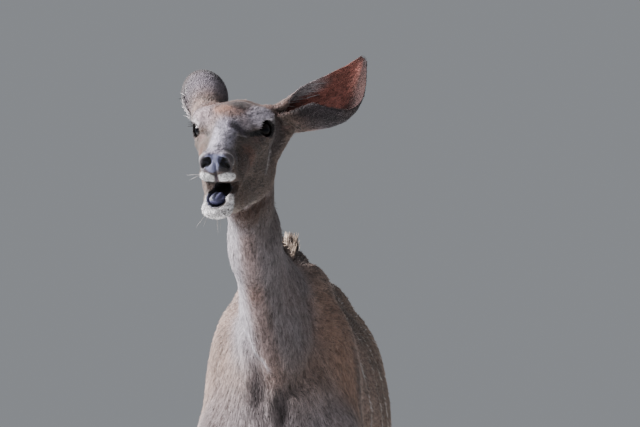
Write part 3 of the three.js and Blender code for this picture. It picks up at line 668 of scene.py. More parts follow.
def ring_faces(around: int, rings: int) -> list[tuple[int, ...]]:
    """Returns the faces of a closed form: a first point, rings of points and a last point.

    Args:
        around: how many points a ring has.
        rings: how many rings there are.

    Returns:
        Faces that face outwards where the rings turn anticlockwise as seen from the last point.
    """
    faces: list[tuple[int, ...]] = []
    for i in range(around):
        j = (i + 1) % around
        faces.append((0, 1 + j, 1 + i))
        for r in range(rings - 1):
            a, b = 1 + r * around, 1 + (r + 1) * around
            faces.append((a + i, a + j, b + j, b + i))
        last = 1 + (rings - 1) * around
        faces.append((last + around, last + i, last + j))
    return faces


def ball_faces(around: int, rings: int) -> list[tuple[int, ...]]:
    """Returns the faces of a ball whose rings turn the other way."""
    return [(face[0], *face[:0:-1]) for face in ring_faces(around, rings)]


def ball_angles(around: int, steps: int) -> tuple[Array, Array]:
    """Returns the angle from the first point and the turn of each point of a ball's rings."""
    away = np.linspace(0, math.pi, steps + 1)[1:-1]
    turn = np.arange(around) * math.tau / around
    return tuple(np.meshgrid(away, turn, indexing="ij"))


@dataclass
class Ear:
    """A thin leaf curled about its length: nearly a tube at its base, an open cup beyond it."""

    part: Part
    root: Triple
    along: Triple
    cup: Triple
    curl: float
    sag: float
    wall: float = 4.0
    around: int = 34
    rings: int = 46
    length: Array = field(init=False)
    open: Array = field(init=False)
    across: Array = field(init=False)
    start: Array = field(init=False)

    def __post_init__(self) -> None:
        """Works out the ear's own frame."""
        self.length = unit(self.along)
        cup = np.array(self.cup)
        self.open = unit(cup - self.length * (cup @ self.length))
        self.across = np.cross(self.open, self.length)
        self.start = in_frame(HEAD, self.root)

    def middle(self, u: Array) -> Array:
        """Returns the middle of the curl, a share u of the way along."""
        u = np.asarray(u, float)[..., None]
        sag = self.sag * np.sin(np.pi * np.maximum(0, u))
        return self.start + self.length * u * EAR_LENGTH - self.across * sag

    def bend(self, u: Array) -> Array:
        """Returns half the angle that the leaf is curled through."""
        curl = np.interp(u, np.linspace(0, 1, len(EAR_CURL)), EAR_CURL)
        return np.minimum(EAR_MOST_CURL, self.curl * curl)

    def radius(self, u: Array) -> Array:
        """Returns the radius of the curl."""
        return np.interp(u, np.linspace(0, 1, len(EAR_SPREAD)), EAR_SPREAD) / self.bend(u)

    def point(self, u: Array, angle: Array, radius: Array) -> Array:
        """Returns a point of the leaf by its way along, angle and radius."""
        side = self.across * (radius * np.sin(angle))[..., None]
        return self.middle(u) + side - self.open * (radius * np.cos(angle))[..., None]

    def leaf(self, u: Array, v: Array) -> tuple[Array, Array]:
        """Returns the angle and the outer radius of the leaf at a share u along and v across.

        Args:
            u: shares of its length.
            v: shares across it, from -1 to 1.

        Returns:
            Angles and radii.
        """
        most = np.minimum(EAR_MOST_CURL, self.bend(u) * np.where(v < 0, EAR_LOW_CURL, 1))
        notch = 1 - 0.06 * np.exp(-(((u - 0.86) / 0.02) ** 2)) * smooth(0.6, 1, v)
        return v * most, self.radius(u) * notch

    def shell(self) -> tuple[Array, list[tuple[int, ...]]]:
        """Returns the points and faces of the closed leaf."""
        shares = 0.015 + 0.985 * np.linspace(0, 1, self.rings) ** 1.1
        v = np.linspace(-1, 1, self.around)
        u = shares[:, None] + 0 * v
        angle, radius = self.leaf(u, v[None, :] + 0 * u)
        wall = self.wall * (1 - 0.4 * v**4) * (1 - 0.45 * u)
        ridge = 0.9 * np.cos(v * 9.5) * smooth(0.15, 0.4, u) * (1 - smooth(0.7, 0.95, u)) * (1 - v**2)
        plug = np.maximum(0, 1 - u / 0.2) * (radius - wall - 2)
        outer = self.point(u, angle, radius)
        inner = self.point(u, angle, radius - wall - plug - ridge)[:, ::-1]
        rings = np.concatenate([outer, inner], 1)
        base = self.middle(0.0) - self.length * 6
        tip = self.point(np.array(1.0), np.array(0.0), self.radius(1.0) - 1) + self.length * 2
        points = np.concatenate([[base], rings.reshape(-1, 3), [tip]])
        return points, ring_faces(rings.shape[1], self.rings)

    def locate(self, points: Array) -> tuple[Array, Array, Array, Array]:
        """Returns how far along points are, their angle, how deep in the leaf, and whether they are in its cup.

        Args:
            points: places in the cow's own frame.

        Returns:
            Shares of its length, angles, depths and a mask of the cup.
        """
        u = (points - self.start) @ self.length / EAR_LENGTH
        offset = points - self.middle(u)
        angle = np.arctan2(offset @ self.across, -(offset @ self.open))
        radius = np.hypot(offset @ self.across, offset @ self.open)
        depth = self.radius(u) - radius
        wall = self.wall * (1 - 0.45 * np.clip(u, 0, 1))
        inner = (depth > 0.55 * wall) & (u > 0.12)
        return u, angle, depth, inner


EARS = [
    Ear(Part.EAR_LEFT, (57, 82, 8), (0.71, 0.45, 0.54), (0.15, -0.8, 0.5), curl=1.0, sag=26),
    Ear(Part.EAR_RIGHT, (-53, 84, 12), (-0.165, 0.9, 0.35), (-0.6, 0.2, -0.75), curl=1.2, sag=0),
]


def new_mesh(name: str, points: Array, faces: Sequence[Sequence[int]] | Array) -> bpy.types.Mesh:
    """Returns a mesh of points in metres and faces.

    Args:
        name: its name.
        points: its points.
        faces: lists of point numbers, or rows of one length.

    Returns:
        The mesh.
    """
    mesh = bpy.data.meshes.new(name)
    if isinstance(faces, np.ndarray):
        sides = faces.shape[1]
        mesh.vertices.add(len(points))
        mesh.vertices.foreach_set("co", np.asarray(points, np.float32).ravel())
        mesh.loops.add(faces.size)
        mesh.loops.foreach_set("vertex_index", faces.astype(np.int32).ravel())
        mesh.polygons.add(len(faces))
        mesh.polygons.foreach_set("loop_start", np.arange(0, faces.size, sides, dtype=np.int32))
        mesh.update(calc_edges=True)
    else:
        mesh.from_pydata(points, [], faces)
    mesh.validate()
    return mesh


def new_object(name: str, mesh: bpy.types.Mesh) -> bpy.types.Object:
    """Returns an object of the mesh, at the origin and in the scene."""
    made = bpy.data.objects.new(name, mesh)
    bpy.context.scene.collection.objects.link(made)
    return made


def set_attribute(mesh: bpy.types.Mesh, name: str, kind: str, values: Array) -> None:
    """Writes a point attribute of a mesh.

    Args:
        mesh: what it is written on.
        name: its name.
        kind: FLOAT, FLOAT_VECTOR or FLOAT_COLOR.
        values: a row for each point.
    """
    keys = {"FLOAT": "value", "FLOAT_VECTOR": "vector", "FLOAT_COLOR": "color"}
    attribute = mesh.attributes.new(name, kind, "POINT")
    if kind == "FLOAT_COLOR" and values.shape[1] == 3:
        values = np.concatenate([values, np.ones((len(values), 1))], 1)
    attribute.data.foreach_set(keys[kind], np.asarray(values, np.float32).ravel())


def gathered(items: bpy.types.bpy_prop_collection, key: str) -> Array:
    """Returns a vector of each item of a mesh's collection.

    Args:
        items: the collection.
        key: which of an item's vectors is read.

    Returns:
        A row for each item.
    """
    values = np.empty(len(items) * 3, np.float32)
    items.foreach_get(key, values)
    return values.reshape(-1, 3).astype(float)


def finished(thing: bpy.types.Object) -> bpy.types.Object:
    """Applies the modifiers of an object and returns it as a plain mesh.

    Args:
        thing: the object, which keeps its name.

    Returns:
        The same object.
    """
    graph = bpy.context.evaluated_depsgraph_get()
    mesh = bpy.data.meshes.new_from_object(thing.evaluated_get(graph))
    thing.modifiers.clear()
    old = thing.data
    thing.data = mesh
    bpy.data.meshes.remove(old)
    return thing


@dataclass
class Skin:
    """The cow's one skin, from nose to hooves, with her ears joined to it."""

    coat_depth: float = 2.0
    points: Array = field(init=False)
    normals: Array = field(init=False)
    triangles: Array = field(init=False)
    flesh: dict[Part, Flesh] = field(init=False)

    def __post_init__(self) -> None:
        """Gathers the flesh of each part."""
        self.flesh = {
            Part.HEAD: face_details(Flesh(skull_flesh(), jaw_flesh())),
            Part.NECK: neck_flesh(),
            Part.TRUNK: trunk_flesh(),
            Part.FORE_LEFT: fore_leg_flesh(1, FORE_STEPS["left"]),
            Part.FORE_RIGHT: fore_leg_flesh(-1, FORE_STEPS["right"]),
            Part.HIND_LEFT: hind_leg_flesh(1, HIND_STEPS["left"]),
            Part.HIND_RIGHT: hind_leg_flesh(-1, HIND_STEPS["right"]),
            Part.TAIL: self.tail_flesh(),
        }

    @staticmethod
    def tail_flesh() -> Flesh:
        """Returns the dock of the tail, which its hair hides."""
        path = [(0, 940, 1150), (0, 1000, 1150), (0, 1032, 1112), (0, 1046, 1040), (0, 1048, 960)]
        radii = (21, 20, 18, 16, 12)
        flesh = Flesh()
        for a, b, r0, r1 in zip(path, path[1:], radii, radii[1:]):
            flesh.limb(a, b, (r0, r0), (r1, r1), blend=12)
        return flesh

    def whole(self) -> Flesh:
        """Returns all the flesh, blended."""
        order = [Part.TRUNK, Part.NECK, Part.FORE_LEFT, Part.FORE_RIGHT, Part.HIND_LEFT, Part.HIND_RIGHT, Part.TAIL]
        return face_details(Flesh(chest_details(Flesh(*[self.flesh[p] for p in order])), skull_flesh(), jaw_flesh()))

    def grow(self, material: bpy.types.Material) -> bpy.types.Object:
        """Returns the skin as one object.

        Args:
            material: its finish.

        Returns:
            The skin, with both ears.
        """
        x = grid_axis([(-190, 6), (-118, 2.4), (36, 6), (72, 5), (120, 7)], 190)
        y = grid_axis([(-742, 2.2), (-640, 2.6), (-560, 1.9), (-480, 2.6), (-400, 4), (-330, 7), (-70, 5.5), (75, 10),
                       (820, 7), (840, 5.5), (995, 7)], 1078)
        z = grid_axis([(30, 5), (200, 8.5), (700, 8), (1180, 7), (1340, 4), (1380, 2.2)], 1640)
        whole = self.whole()
        d = whole.on_grid((x, y, z)) + self.depth(y[:, None], z[None, :])[None].astype(np.float32)
        points, quads = surface_net((x, y, z), d)
        LOG.info("skin: %d points, %d quads", len(points), len(quads))
        points = self.settle(whole, points)
        mesh = new_mesh("skin", to_row(points), quads)
        skin = new_object("skin", mesh)
        for ear in EARS:
            self.join(skin, ear)
        self.measure(skin)
        skin.data.materials.clear()
        skin.data.materials.append(material)
        skin.data.polygons.foreach_set("use_smooth", np.ones(len(skin.data.polygons), bool))
        return skin

    def depth(self, y: Array, z: Array) -> Array:
        """Returns how far the skin lies under the tips of the coat: less on the face and feet.

        Args:
            y: how far aft.
            z: how high.

        Returns:
            Depths in millimetres.
        """
        face = 1 - smooth(-440, -340, y)
        foot = 1 - smooth(150, 350, z)
        return self.coat_depth * (1 - 0.85 * np.maximum(face, foot))

    def settle(self, whole: Flesh, points: Array) -> Array:
        """Returns the points moved onto the true surface.

        Args:
            whole: the flesh.
            points: points near its surface.

        Returns:
            The moved points.
        """
        for _ in range(2):
            slope = whole.slopes(points)
            size = np.maximum((slope**2).sum(1), 0.3)
            miss = whole.at(points) + self.depth(points[:, 1], points[:, 2])
            points = points - slope * np.clip(miss / size, -1.6, 1.6)[:, None]
        return points

    def join(self, skin: bpy.types.Object, ear: Ear) -> None:
        """Joins an ear to the skin.

        Args:
            skin: the skin.
            ear: the ear.
        """
        points, faces = ear.shell()
        leaf = new_object("leaf", new_mesh("leaf", to_row(points), faces))
        union = skin.modifiers.new("union", "BOOLEAN")
        union.operation = "UNION"
        union.solver = "MANIFOLD"
        union.object = leaf
        before = len(skin.data.vertices)
        finished(skin)
        LOG.info("%s: skin from %d to %d points", ear.part.name, before, len(skin.data.vertices))
        bpy.data.objects.remove(leaf)

    def measure(self, skin: bpy.types.Object) -> None:
        """Keeps the skin's points, normals and triangles, in the cow's own frame.

        Args:
            skin: the finished skin.
        """
        mesh = skin.data
        mesh.calc_loop_triangles()
        self.points = (gathered(mesh.vertices, "co") - ROW_SHIFT) * 1000
        self.normals = gathered(mesh.vertex_normals, "vector")
        triangles = np.empty(len(mesh.loop_triangles) * 3, np.int32)
        mesh.loop_triangles.foreach_get("vertices", triangles)
        self.triangles = triangles.reshape(-1, 3)
        LOG.info("skin: %d triangles", len(self.triangles))


def sized(wide: Array | float, long: Array | float, thick: Array | float) -> Array:
    """Returns the width, length and thickness of tufts as rows."""
    return np.stack(np.broadcast_arrays(wide, long, thick), 1)


def linear(red: float, green: float, blue: float) -> Array:
    """Returns a colour given in display values of 0 to 255 as linear light."""
    c = np.array([red, green, blue]) / 255
    return np.where(c < 0.04045, c / 12.92, ((c + 0.055) / 1.055) ** 2.4)


def near_line(points: Array, start: Point, end: Point, width: float, fade: float) -> Array:
    """Returns a mask of 1 within a width of a line and 0 past its fade.

    Args:
        points: where the mask is wanted.
        start, end: the line's ends, in the frame of the points.
        width: how far from the line the mask is whole.
        fade: how much further it reaches 0.

    Returns:
        The mask.
    """
    a, b = np.array(start, float), np.array(end, float)
    t = np.clip((points - a) @ (b - a) / ((b - a) @ (b - a)), 0, 1)
    away = np.linalg.norm(points - a - t[:, None] * (b - a), axis=1)
    return 1 - smooth(width, width + fade, away)


def near_round(points: Array, centre: Point, sizes: Point, fade: float = 0.5) -> Array:
    """Returns a mask of 1 inside an ellipsoid and 0 past its fade, a share of its size.

    Args:
        points: where the mask is wanted.
        centre: its middle, in the frame of the points.
        sizes: its half-sizes.
        fade: the width of its edge.

    Returns:
        The mask.
    """
    away = np.linalg.norm((points - np.array(centre)) / np.array(sizes), axis=1)
    return 1 - smooth(1 - fade / 2, 1 + fade / 2, away)


@dataclass(frozen=True)
class CoatTones:
    """The colours of the coat, in display values."""

    trunk: Triple = (104, 84, 72)
    shoulder: Triple = (142, 120, 110)
    belly: Triple = (108, 96, 90)
    chest: Triple = (136, 126, 128)
    back: Triple = (100, 82, 72)
    rump: Triple = (146, 124, 108)
    neck: Triple = (142, 133, 137)
    # painted highlight on the neck's right side, which faces the lamps, and beside its right creases
    neck_highlight: Triple = (206, 201, 213)
    neck_warm: Triple = (132, 98, 84)
    rust: Triple = (158, 120, 98)
    # painted shade: down the left side behind the shoulder, along the neck's creases and in the chest's hollows
    painted_shade: Triple = (44, 37, 41)
    # the nape's darker tone, which is also laid as painted shade on the neck's left side
    nape: Triple = (84, 76, 74)
    leg: Triple = (144, 112, 88)
    leg_inside: Triple = (176, 158, 142)
    pastern: Triple = (86, 70, 60)
    sock: Triple = (200, 190, 178)
    forehead: Triple = (138, 110, 104)
    brow: Triple = (214, 203, 216)
    forehead_warm: Triple = (152, 104, 78)
    crown: Triple = (58, 42, 41)
    # the nasal ridge's paler hair, with painted highlight where the ridge faces up
    ridge: Triple = (172, 164, 180)
    cheek: Triple = (92, 78, 71)
    cheek_red: Triple = (96, 62, 50)
    # painted shade behind the eyes, under the ears
    temple_shade: Triple = (66, 59, 60)
    dark_mark: Triple = (66, 57, 69)
    pale_mark: Triple = (206, 198, 200)
    eye_rim: Triple = (32, 26, 27)
    pad: Triple = (132, 134, 164)
    wing: Triple = (76, 68, 74)
    nostril: Triple = (14, 12, 14)
    lip: Triple = (236, 234, 236)
    # painted shade inside the mouth, in its corners and under the upper lip
    mouth: Triple = (20, 15, 17)
    gum: Triple = (172, 174, 192)
    jaw_edge: Triple = (140, 130, 122)
    # painted shade in the throat's crease, in a band below the jaw and along a crease of the lower lip
    crease_shade: Triple = (44, 30, 26)
    muzzle_side: Triple = (50, 41, 39)
    ear_back: Triple = (158, 146, 158)
    ear_inside: Triple = (168, 106, 96)
    ear_rim: Triple = (50, 43, 46)
    ear_pale: Triple = (214, 206, 208)
    ear_base: Triple = (150, 122, 112)


@dataclass
class Coat:
    """What the coat is like at each point of the skin: its colour, lie, size and how thick it grows."""

    points: Array
    normals: Array
    flesh: dict[Part, Flesh]
    tones: CoatTones = CoatTones()
    head: Array = field(init=False)
    jaw: Array = field(init=False)
    weight: dict[Part, Array] = field(init=False)
    tone: Array = field(init=False)
    moist: Array = field(init=False)
    lie: Array = field(init=False)
    down: Array = field(init=False)
    size: Array = field(init=False)
    cover: Array = field(init=False)

    def __post_init__(self) -> None:
        """Works out everything in turn."""
        self.head = into_frame(HEAD, self.points)
        self.jaw = into_frame(JAW, self.points)
        self.weigh()
        self.colour_body()
        self.colour_head()
        self.colour_ears()
        self.comb()
        self.thicken()

    def weigh(self) -> None:
        """Works out how much each part of the body owns a point."""
        away = {part: flesh.at(self.points) for part, flesh in self.flesh.items()}
        share = {part: np.exp(-np.clip(d, -40, 150) / 9) for part, d in away.items()}
        total = sum(share.values())
        self.weight = {part: s / total for part, s in share.items()}
        for ear in EARS:
            self.weight[ear.part] = self.on_ear(ear)

    def on_ear(self, ear: Ear) -> Array:
        """Returns a mask of an ear.

        Args:
            ear: the ear.

        Returns:
            The mask, which fades at its base.
        """
        u, angle, depth, _ = ear.locate(self.points)
        near = (np.abs(depth - ear.wall / 2) < ear.wall / 2 + 2.5) & (np.abs(angle) < ear.bend(u) * 1.4 + 0.1)
        return np.where(near & (u < 1.03), smooth(0.06, 0.2, u), 0)

    def legs(self, top: float, low: float) -> Array:
        """Returns a mask of the legs that fades from low up to top."""
        parts = (Part.FORE_LEFT, Part.FORE_RIGHT, Part.HIND_LEFT, Part.HIND_RIGHT)
        return sum(self.weight[part] for part in parts) * smooth(top, low, self.points[:, 2])

    def ears(self) -> Array:
        """Returns a mask of both ears."""
        return np.maximum(self.weight[Part.EAR_LEFT], self.weight[Part.EAR_RIGHT])

    def face(self) -> Array:
        """Returns a mask of the face, up to the ears."""
        return self.weight[Part.HEAD] * smooth(130, 70, self.head[:, 1])

    def lay(self, colour: Point, mask: Array) -> None:
        """Mixes a colour into the coat where the mask says."""
        self.tone += (linear(*colour) - self.tone) * np.clip(mask, 0, 1)[:, None]

    def colour_body(self) -> None:
        """Colours trunk, neck, legs and tail, with painted shade in creases, hollows and on her left side, and
        painted highlight on the neck's right side.
        """
        t = self.tones
        x, y, z = self.points.T
        up = self.normals[:, 2]
        self.tone = np.tile(linear(*t.trunk), (len(x), 1))
        self.lay(t.rump, smooth(620, 880, y) * 0.8)
        self.lay(t.shoulder, smooth(330, 60, y) * smooth(900, 1000, z))
        self.lay(t.belly, smooth(-0.2, -0.8, up) * smooth(760, 900, z) + smooth(860, 760, z) * smooth(-40, 60, y))
        self.lay(t.chest, smooth(-60, -150, y) * smooth(1120, 1010, z))
        self.lay(t.back, smooth(0.45, 0.95, up) * smooth(1120, 1180, z) * smooth(40, 90, y))
        self.lay(t.neck, self.weight[Part.NECK] * smooth(1030, 1160, z))
        nape = self.weight[Part.NECK] * smooth(0.1, 0.75, self.normals[:, 1] + 0.35 * up)
        self.lay(t.nape, nape * smooth(1100, 1200, z))
        aside = self.normals[:, 0]
        # painted shade over the left side of the neck, deepest near the head
        self.lay(t.nape, self.weight[Part.NECK] * smooth(0.2, 0.95, aside) * (0.4 + 0.55 * smooth(1300, 1400, z)))
        # painted highlight: a pale wash over the neck's right side where it turns forward, higher up
        lit = smooth(-0.45, -0.85, aside) * smooth(0.15, -0.2, self.normals[:, 1])
        self.lay(t.neck_highlight, self.weight[Part.NECK] * lit * smooth(1120, 1220, z) * 0.22)
        self.lay(t.neck_warm, near_line(self.points, (-33, -368, 1332), (-24, -312, 1236), 2, 26) * 0.4)
        self.lay(t.neck_warm, near_line(self.points, (-24, -312, 1236), (3, -239, 1091), 6, 30) * 0.4)
        self.lay(t.rust, near_line(self.points, (92, -30, 1210), (122, -70, 1080), 26, 50) * 0.42)
        # painted shade down the left side, where the shoulder turns into the barrel
        self.lay(t.painted_shade, near_line(self.points, (136, -20, 1120), (146, -40, 1000), 6, 34) * 0.6)
        self.lay(t.nape, near_round(self.points, (6, 60, 1300), (30, 70, 40), 0.8) * 0.6)
        # painted shade along the creases where the neck meets the shoulders
        for line in NECK_CREASES.values():
            for a, b in zip(line, line[1:]):
                self.lay(t.painted_shade, near_line(self.points, a, b, 2, 14) * 0.45)
        # painted highlight: a pale line beside each crease on the right side of the neck
        for a, b in zip(NECK_CREASES[-1][1:], NECK_CREASES[-1][2:]):
            shift = np.array([11, -4, 5])
            self.lay(t.neck_highlight, near_line(self.points, a + shift, b + shift, 2, 9) * 0.5)
        # painted shade in the two hollows of the chest
        for centre, sizes, _ in CHEST_HOLLOWS:
            middle, reach = np.array(centre) + [0, 0, 4], np.array(sizes) * [1.45, 3, 1.35]
            self.lay(t.painted_shade, near_round(self.points, middle, reach, 1.3) * 0.88)
        legs = self.legs(880, 700)
        self.lay(t.leg, legs)
        inside = smooth(0.2, 0.8, -self.normals[:, 0] * np.sign(x))
        self.lay(t.leg_inside, legs * inside * smooth(380, 620, z))
        self.lay(t.dark_mark, legs * smooth(500, 620, z) * smooth(760, 660, z) * smooth(-0.3, 0.4, self.normals[:, 1])
                 * inside * smooth(200, 100, y))
        self.lay(t.pastern, legs * smooth(150, 80, z))
        self.lay(t.sock, legs * smooth(108, 86, z) * smooth(52, 66, z) * smooth(0.1, -0.5, self.normals[:, 1]) * 0.85)
        tail = self.weight[Part.TAIL] * smooth(960, 1000, y)
        self.lay(t.back, tail * 0.7)
        self.moist = np.zeros(len(x))

    def colour_head(self) -> None:
        """Colours the face, lips, chin, nose pad and mouth, with painted shade in hollows and creases and painted
        highlight on the nasal ridge.
        """
        t = self.tones
        h = self.head
        both, jaw_both = mirrored(h), mirrored(self.jaw)
        x, y, z = both.T
        head = self.weight[Part.HEAD]
        up = self.normals @ HEAD[:3, 2]
        self.lay(t.cheek, head * smooth(96, 60, y))
        self.lay(t.forehead, head * smooth(0.15, 0.6, up) * smooth(110, 60, y) * smooth(-80, -40, y))
        # painted shade behind the eye and under the ear, where the cheek turns away
        self.lay(t.temple_shade, head * near_round(both, (62, 34, -10), (26, 34, 44)) * 0.8)
        self.lay(t.cheek_red, head * near_round(both, (40, -104, -46), (18, 40, 26), 0.9) * 0.9)
        self.lay(t.brow, head * near_round(both, (50, -22, 26), (30, 30, 20), 0.8) * (0.3 + 0.6 * (h[:, 0] > 0)))
        self.lay(t.brow, head * near_round(both, (30, -62, 16), (20, 22, 18), 0.9) * (0.15 + 0.3 * (h[:, 0] > 0)))
        self.lay(t.forehead, head * near_round(both, (8, -28, 42), (24, 24, 16), 1.0) * 0.9)
        self.lay(t.forehead_warm, head * near_round(h, (-12, -26, 40), (18, 24, 16), 0.9) * 0.6)
        self.lay(t.crown, head * near_round(both, (0, 34, 48), (40, 44, 22), 0.9) * 0.7)
        self.lay(t.crown, head * near_round(h, (14, -8, 45), (21, 30, 15), 0.8) * 0.85)
        self.lay(t.muzzle_side, head * near_round(both, (34, -134, -62), (20, 46, 34), 0.9) * 0.85)
        # painted shade along the throat's crease, with a wider band of it below the jaw
        for a, b in zip(THROAT_CREASE, THROAT_CREASE[1:]):
            self.lay(t.crease_shade, near_line(h, a, b, 5, 9) * 0.95)
            self.lay(t.crease_shade, near_line(h, np.array(a) + [2, 8, -12], np.array(b) + [2, 8, -12], 6, 30) * 0.45)
        # the top of the nasal ridge is paler: its own paler hair, and painted highlight where it faces up
        ridge = smooth(0.1, 0.5, up) * smooth(26, 13, x) * smooth(-52, -84, y)
        self.lay(t.ridge, head * ridge)
        self.lay(t.pale_mark, head * near_line(both, (14, -150, -10), (12, -196, -24), 4, 10) * 0.12)
        near_side = 0.35 + 0.65 * (h[:, 0] > 0)
        self.lay(t.dark_mark, head * near_line(both, (13, -84, 12), (27, -75, 1), 6.5, 9) * 0.95 * near_side)
        self.lay(t.eye_rim, head * near_line(both, (46, -26, -3), (31, -70, -3), 2.2, 6) * 0.9)
        self.lay(t.nostril, head * near_line(h, (54, -30, -2), (39, -59, -5), 2.6, 3))
        self.lay(t.nostril, head * near_line(h, (56, -27, -2), (46, -42, -4), 4.5, 3))
        self.lay(t.eye_rim, head * near_round(h, (54, -37, -14), (9, 10, 5), 0.8) * 0.6)
        self.lay(t.pale_mark, head * near_line(both, (13, -116, 0), (33, -73, -9), 0.5, 3) * 0.42 * near_side)
        self.lay(t.dark_mark, head * near_line(both, (22, -190, -26), (30, -150, -36), 5, 12) * 0.6)
        self.lay(t.pale_mark, head * near_line(both, (57, -30, 13), (68, 6, 17), 2.4, 4) * 0.7)
        self.lay(t.pale_mark, head * near_line(both, (59, 33, -41), (56, 0, -74), 1.5, 4) * 0.5)
        self.lay(t.jaw_edge, head * near_line(jaw_both, (36, 40, -118), (24, -60, -112), 7, 16) * 0.7)
        ball = np.linalg.norm((both - [EYE_ASIDE, 0, 0]), axis=1)
        # painted shade under the ear, broken into streaks along the hair
        streaks = 0.5 + 0.5 * np.sin((y * 0.85 + z * 0.45) * math.tau / 7 + 1.5 * np.sin(z / 9))
        self.lay(t.temple_shade, head * near_round(both, (66, 52, 14), (18, 40, 34), 0.7) * streaks * 0.8)
        opening = np.where(h[:, 0] > 0, lid_opening(1)(*self.points.T), lid_opening(-1)(*self.points.T))
        by_eye = head * smooth(EYE_RADIUS + 9, EYE_RADIUS + 5, ball)
        self.lay(t.pale_mark, by_eye * smooth(9.5, 7.5, opening) * smooth(2, 8, z) * 0.75)
        self.lay(t.eye_rim, by_eye * smooth(6.5, 4.0, opening))
        pad = smooth(-196, -203, y) * smooth(-61, -57, z) * smooth(-25, -31, z) * smooth(34, 29, x)
        self.lay(t.wing, head * pad)
        narrowing = (0.6 + 1.6 * (h[:, 0] > 0)) * np.maximum(0, -48 - z)
        self.lay(t.pad, head * pad * smooth(25, 17, x + 0.35 * np.abs(z + 44) + narrowing))
        self.moist = np.maximum(self.moist, head * pad)
        self.lay(t.eye_rim, head * near_line(h, (10, -214, -51.5), (21, -209, -54), 4.2, 2.5) * 0.9)
        self.lay(t.muzzle_side, head * near_round(h, (29, -203, -42), (7, 12, 13), 0.6) * 0.7)
        for a, b in (((18, -209, -24), (28, -203, -30)), ((28, -203, -30), (31, -197, -52))):
            self.lay(t.pale_mark, head * near_line(h, a, b, 0.8, 2) * 0.4)
        lobes = near_round(both, (17, -197, -68.5), (16, 25, 10.5), 0.16)
        lobes = lobes * smooth(1.8, 3.4, x + 0.14 * (z + 62))
        self.lay(t.lip, head * lobes)
        # painted shade in the philtrum's groove and between the lip lobes
        groove = near_line(both, (0, -216, -44), (0, -206, -82), 1.0, 1.4)
        groove = np.maximum(groove, smooth(3.4, 1.8, x) * smooth(-184, -190, y) * smooth(-56, -60, z))
        self.lay(t.dark_mark, head * groove)
        # painted shade deep in the nostrils' hollows
        hole = near_round(both, (14.5, -208, -41), (8.4, 12, 9.4), 0.12)
        hole = np.maximum(hole, near_round(both, (20, -205, -46), (4.6, 9, 8), 0.2))
        deep = hole * smooth(3, 0.4, self.rim_rise(both))
        self.lay(t.nostril, head * deep)
        self.colour_mouth(head, jaw_both)
        under = smooth(0, -0.6, up) * smooth(-60, -100, y) * smooth(-160, -140, y) * smooth(-100, -112, z)
        self.lay(t.jaw_edge, head * under * 0.7)

    @staticmethod
    def rim_rise(both: Array) -> Array:
        """Returns how far points stand outside the nostrils' hollows.

        Args:
            both: points in the head's frame, with the right side on the left.

        Returns:
            Distances, negative inside.
        """
        away = []
        for centre, sizes, tilt, turn, lean in NOSTRILS:
            turned = turn_about("Z", turn) @ turn_about("Y", lean) @ turn_about("X", tilt)
            away.append(round_distance(*into_frame(moved(*centre) @ turned, both).T, *sizes))
        return np.minimum(*away)

    def colour_mouth(self, head: Array, jaw_both: Array) -> None:
        """Colours chin and gums, and paints shade inside the mouth, in its corners, under the upper lip and along a
        crease of the lower lip.

        Args:
            head: the mask of the head.
            jaw_both: points in the jaw's frame, with the right side on the left.
        """
        t = self.tones
        x, y, z = jaw_both.T
        chin = smooth(-148, -158, y) * smooth(-58, -66, z)
        self.lay(t.lip, head * chin)
        h = self.head
        upper, lower = (
            round_distance(*(points - np.array(centre)).T, *sizes)
            for points, (centre, sizes) in ((h, MOUTH_ABOVE), (self.jaw, MOUTH_BELOW))
        )
        inside = smooth(3.2, 1.2, np.minimum(upper, lower))
        self.lay(t.gum, head * inside)
        self.moist = np.maximum(self.moist, head * inside)
        # painted shade at the back of the mouth and deep in the lower lip's hollow
        deep = smooth(-83.0, -85.0, z) * smooth(1.0, 0.4, lower)
        self.lay(t.mouth, head * inside * np.maximum(smooth(-150, -126, y), deep))
        side_h = mirrored(h)
        # painted shade in the mouth's corners, which darkens the lip's edge beside them too
        self.lay(t.mouth, head * near_line(side_h, *MOUTH_CORNER, 8.6, 2.5) * smooth(-74, -77, h[:, 2]))
        self.lay(t.mouth, head * near_line(side_h, (17, -142, -93), (25, -123, -92), 6.5, 2.5))
        # painted shade along a crease line just outside the lower lip's hollow
        fold = smooth(2.2, 3.2, lower) * smooth(6.5, 4.8, lower) * smooth(-140, -150, y) * smooth(-70, -76, z)
        self.lay(t.crease_shade, head * fold * smooth(-10, 0, self.jaw[:, 0]) * 0.85)
        up = self.normals @ HEAD[:3, 2]
        # painted shade on the underside of the upper lip's front
        roof = smooth(-96, -86, h[:, 2]) * smooth(-196, -186, h[:, 1]) * smooth(-0.2, -0.7, up)
        self.lay(t.mouth, head * roof * smooth(24, 18, np.abs(h[:, 0])) * smooth(-60, -76, h[:, 2]))

    def colour_ears(self) -> None:
        """Colours the ears, inside and out, with painted shade deep in each cup."""
        t = self.tones
        for ear in EARS:
            u, angle, _, inner = ear.locate(self.points)
            share = angle / ear.bend(u)
            edge = np.abs(share)
            own = self.weight[ear.part]
            outer = np.where(inner, 0, 1.0)
            self.lay(t.ear_base, own * outer * smooth(0.5, 0.1, u))
            self.lay(t.ear_back, own * outer * smooth(0.15, 0.45, u))
            facing = -self.normals[:, 1]
            if not ear.sag:
                self.lay(t.ear_rim, own * outer * 0.3)
                self.lay(t.ear_rim, own * outer * smooth(0.45, 0.1, facing) * smooth(-0.7, -0.2, facing) * 0.75)
            self.lay(t.ear_rim, own * outer * smooth(0.86, 0.98, edge) * 0.8)
            self.lay(t.ear_rim, own * outer * smooth(-0.35, -0.75, share) * (0.9 if ear.sag else 0.5))
            self.lay(t.ear_inside, own * (1 - outer))
            self.lay(t.ear_rim, own * (1 - outer) * smooth(-0.05, -0.5, share) * 0.85)
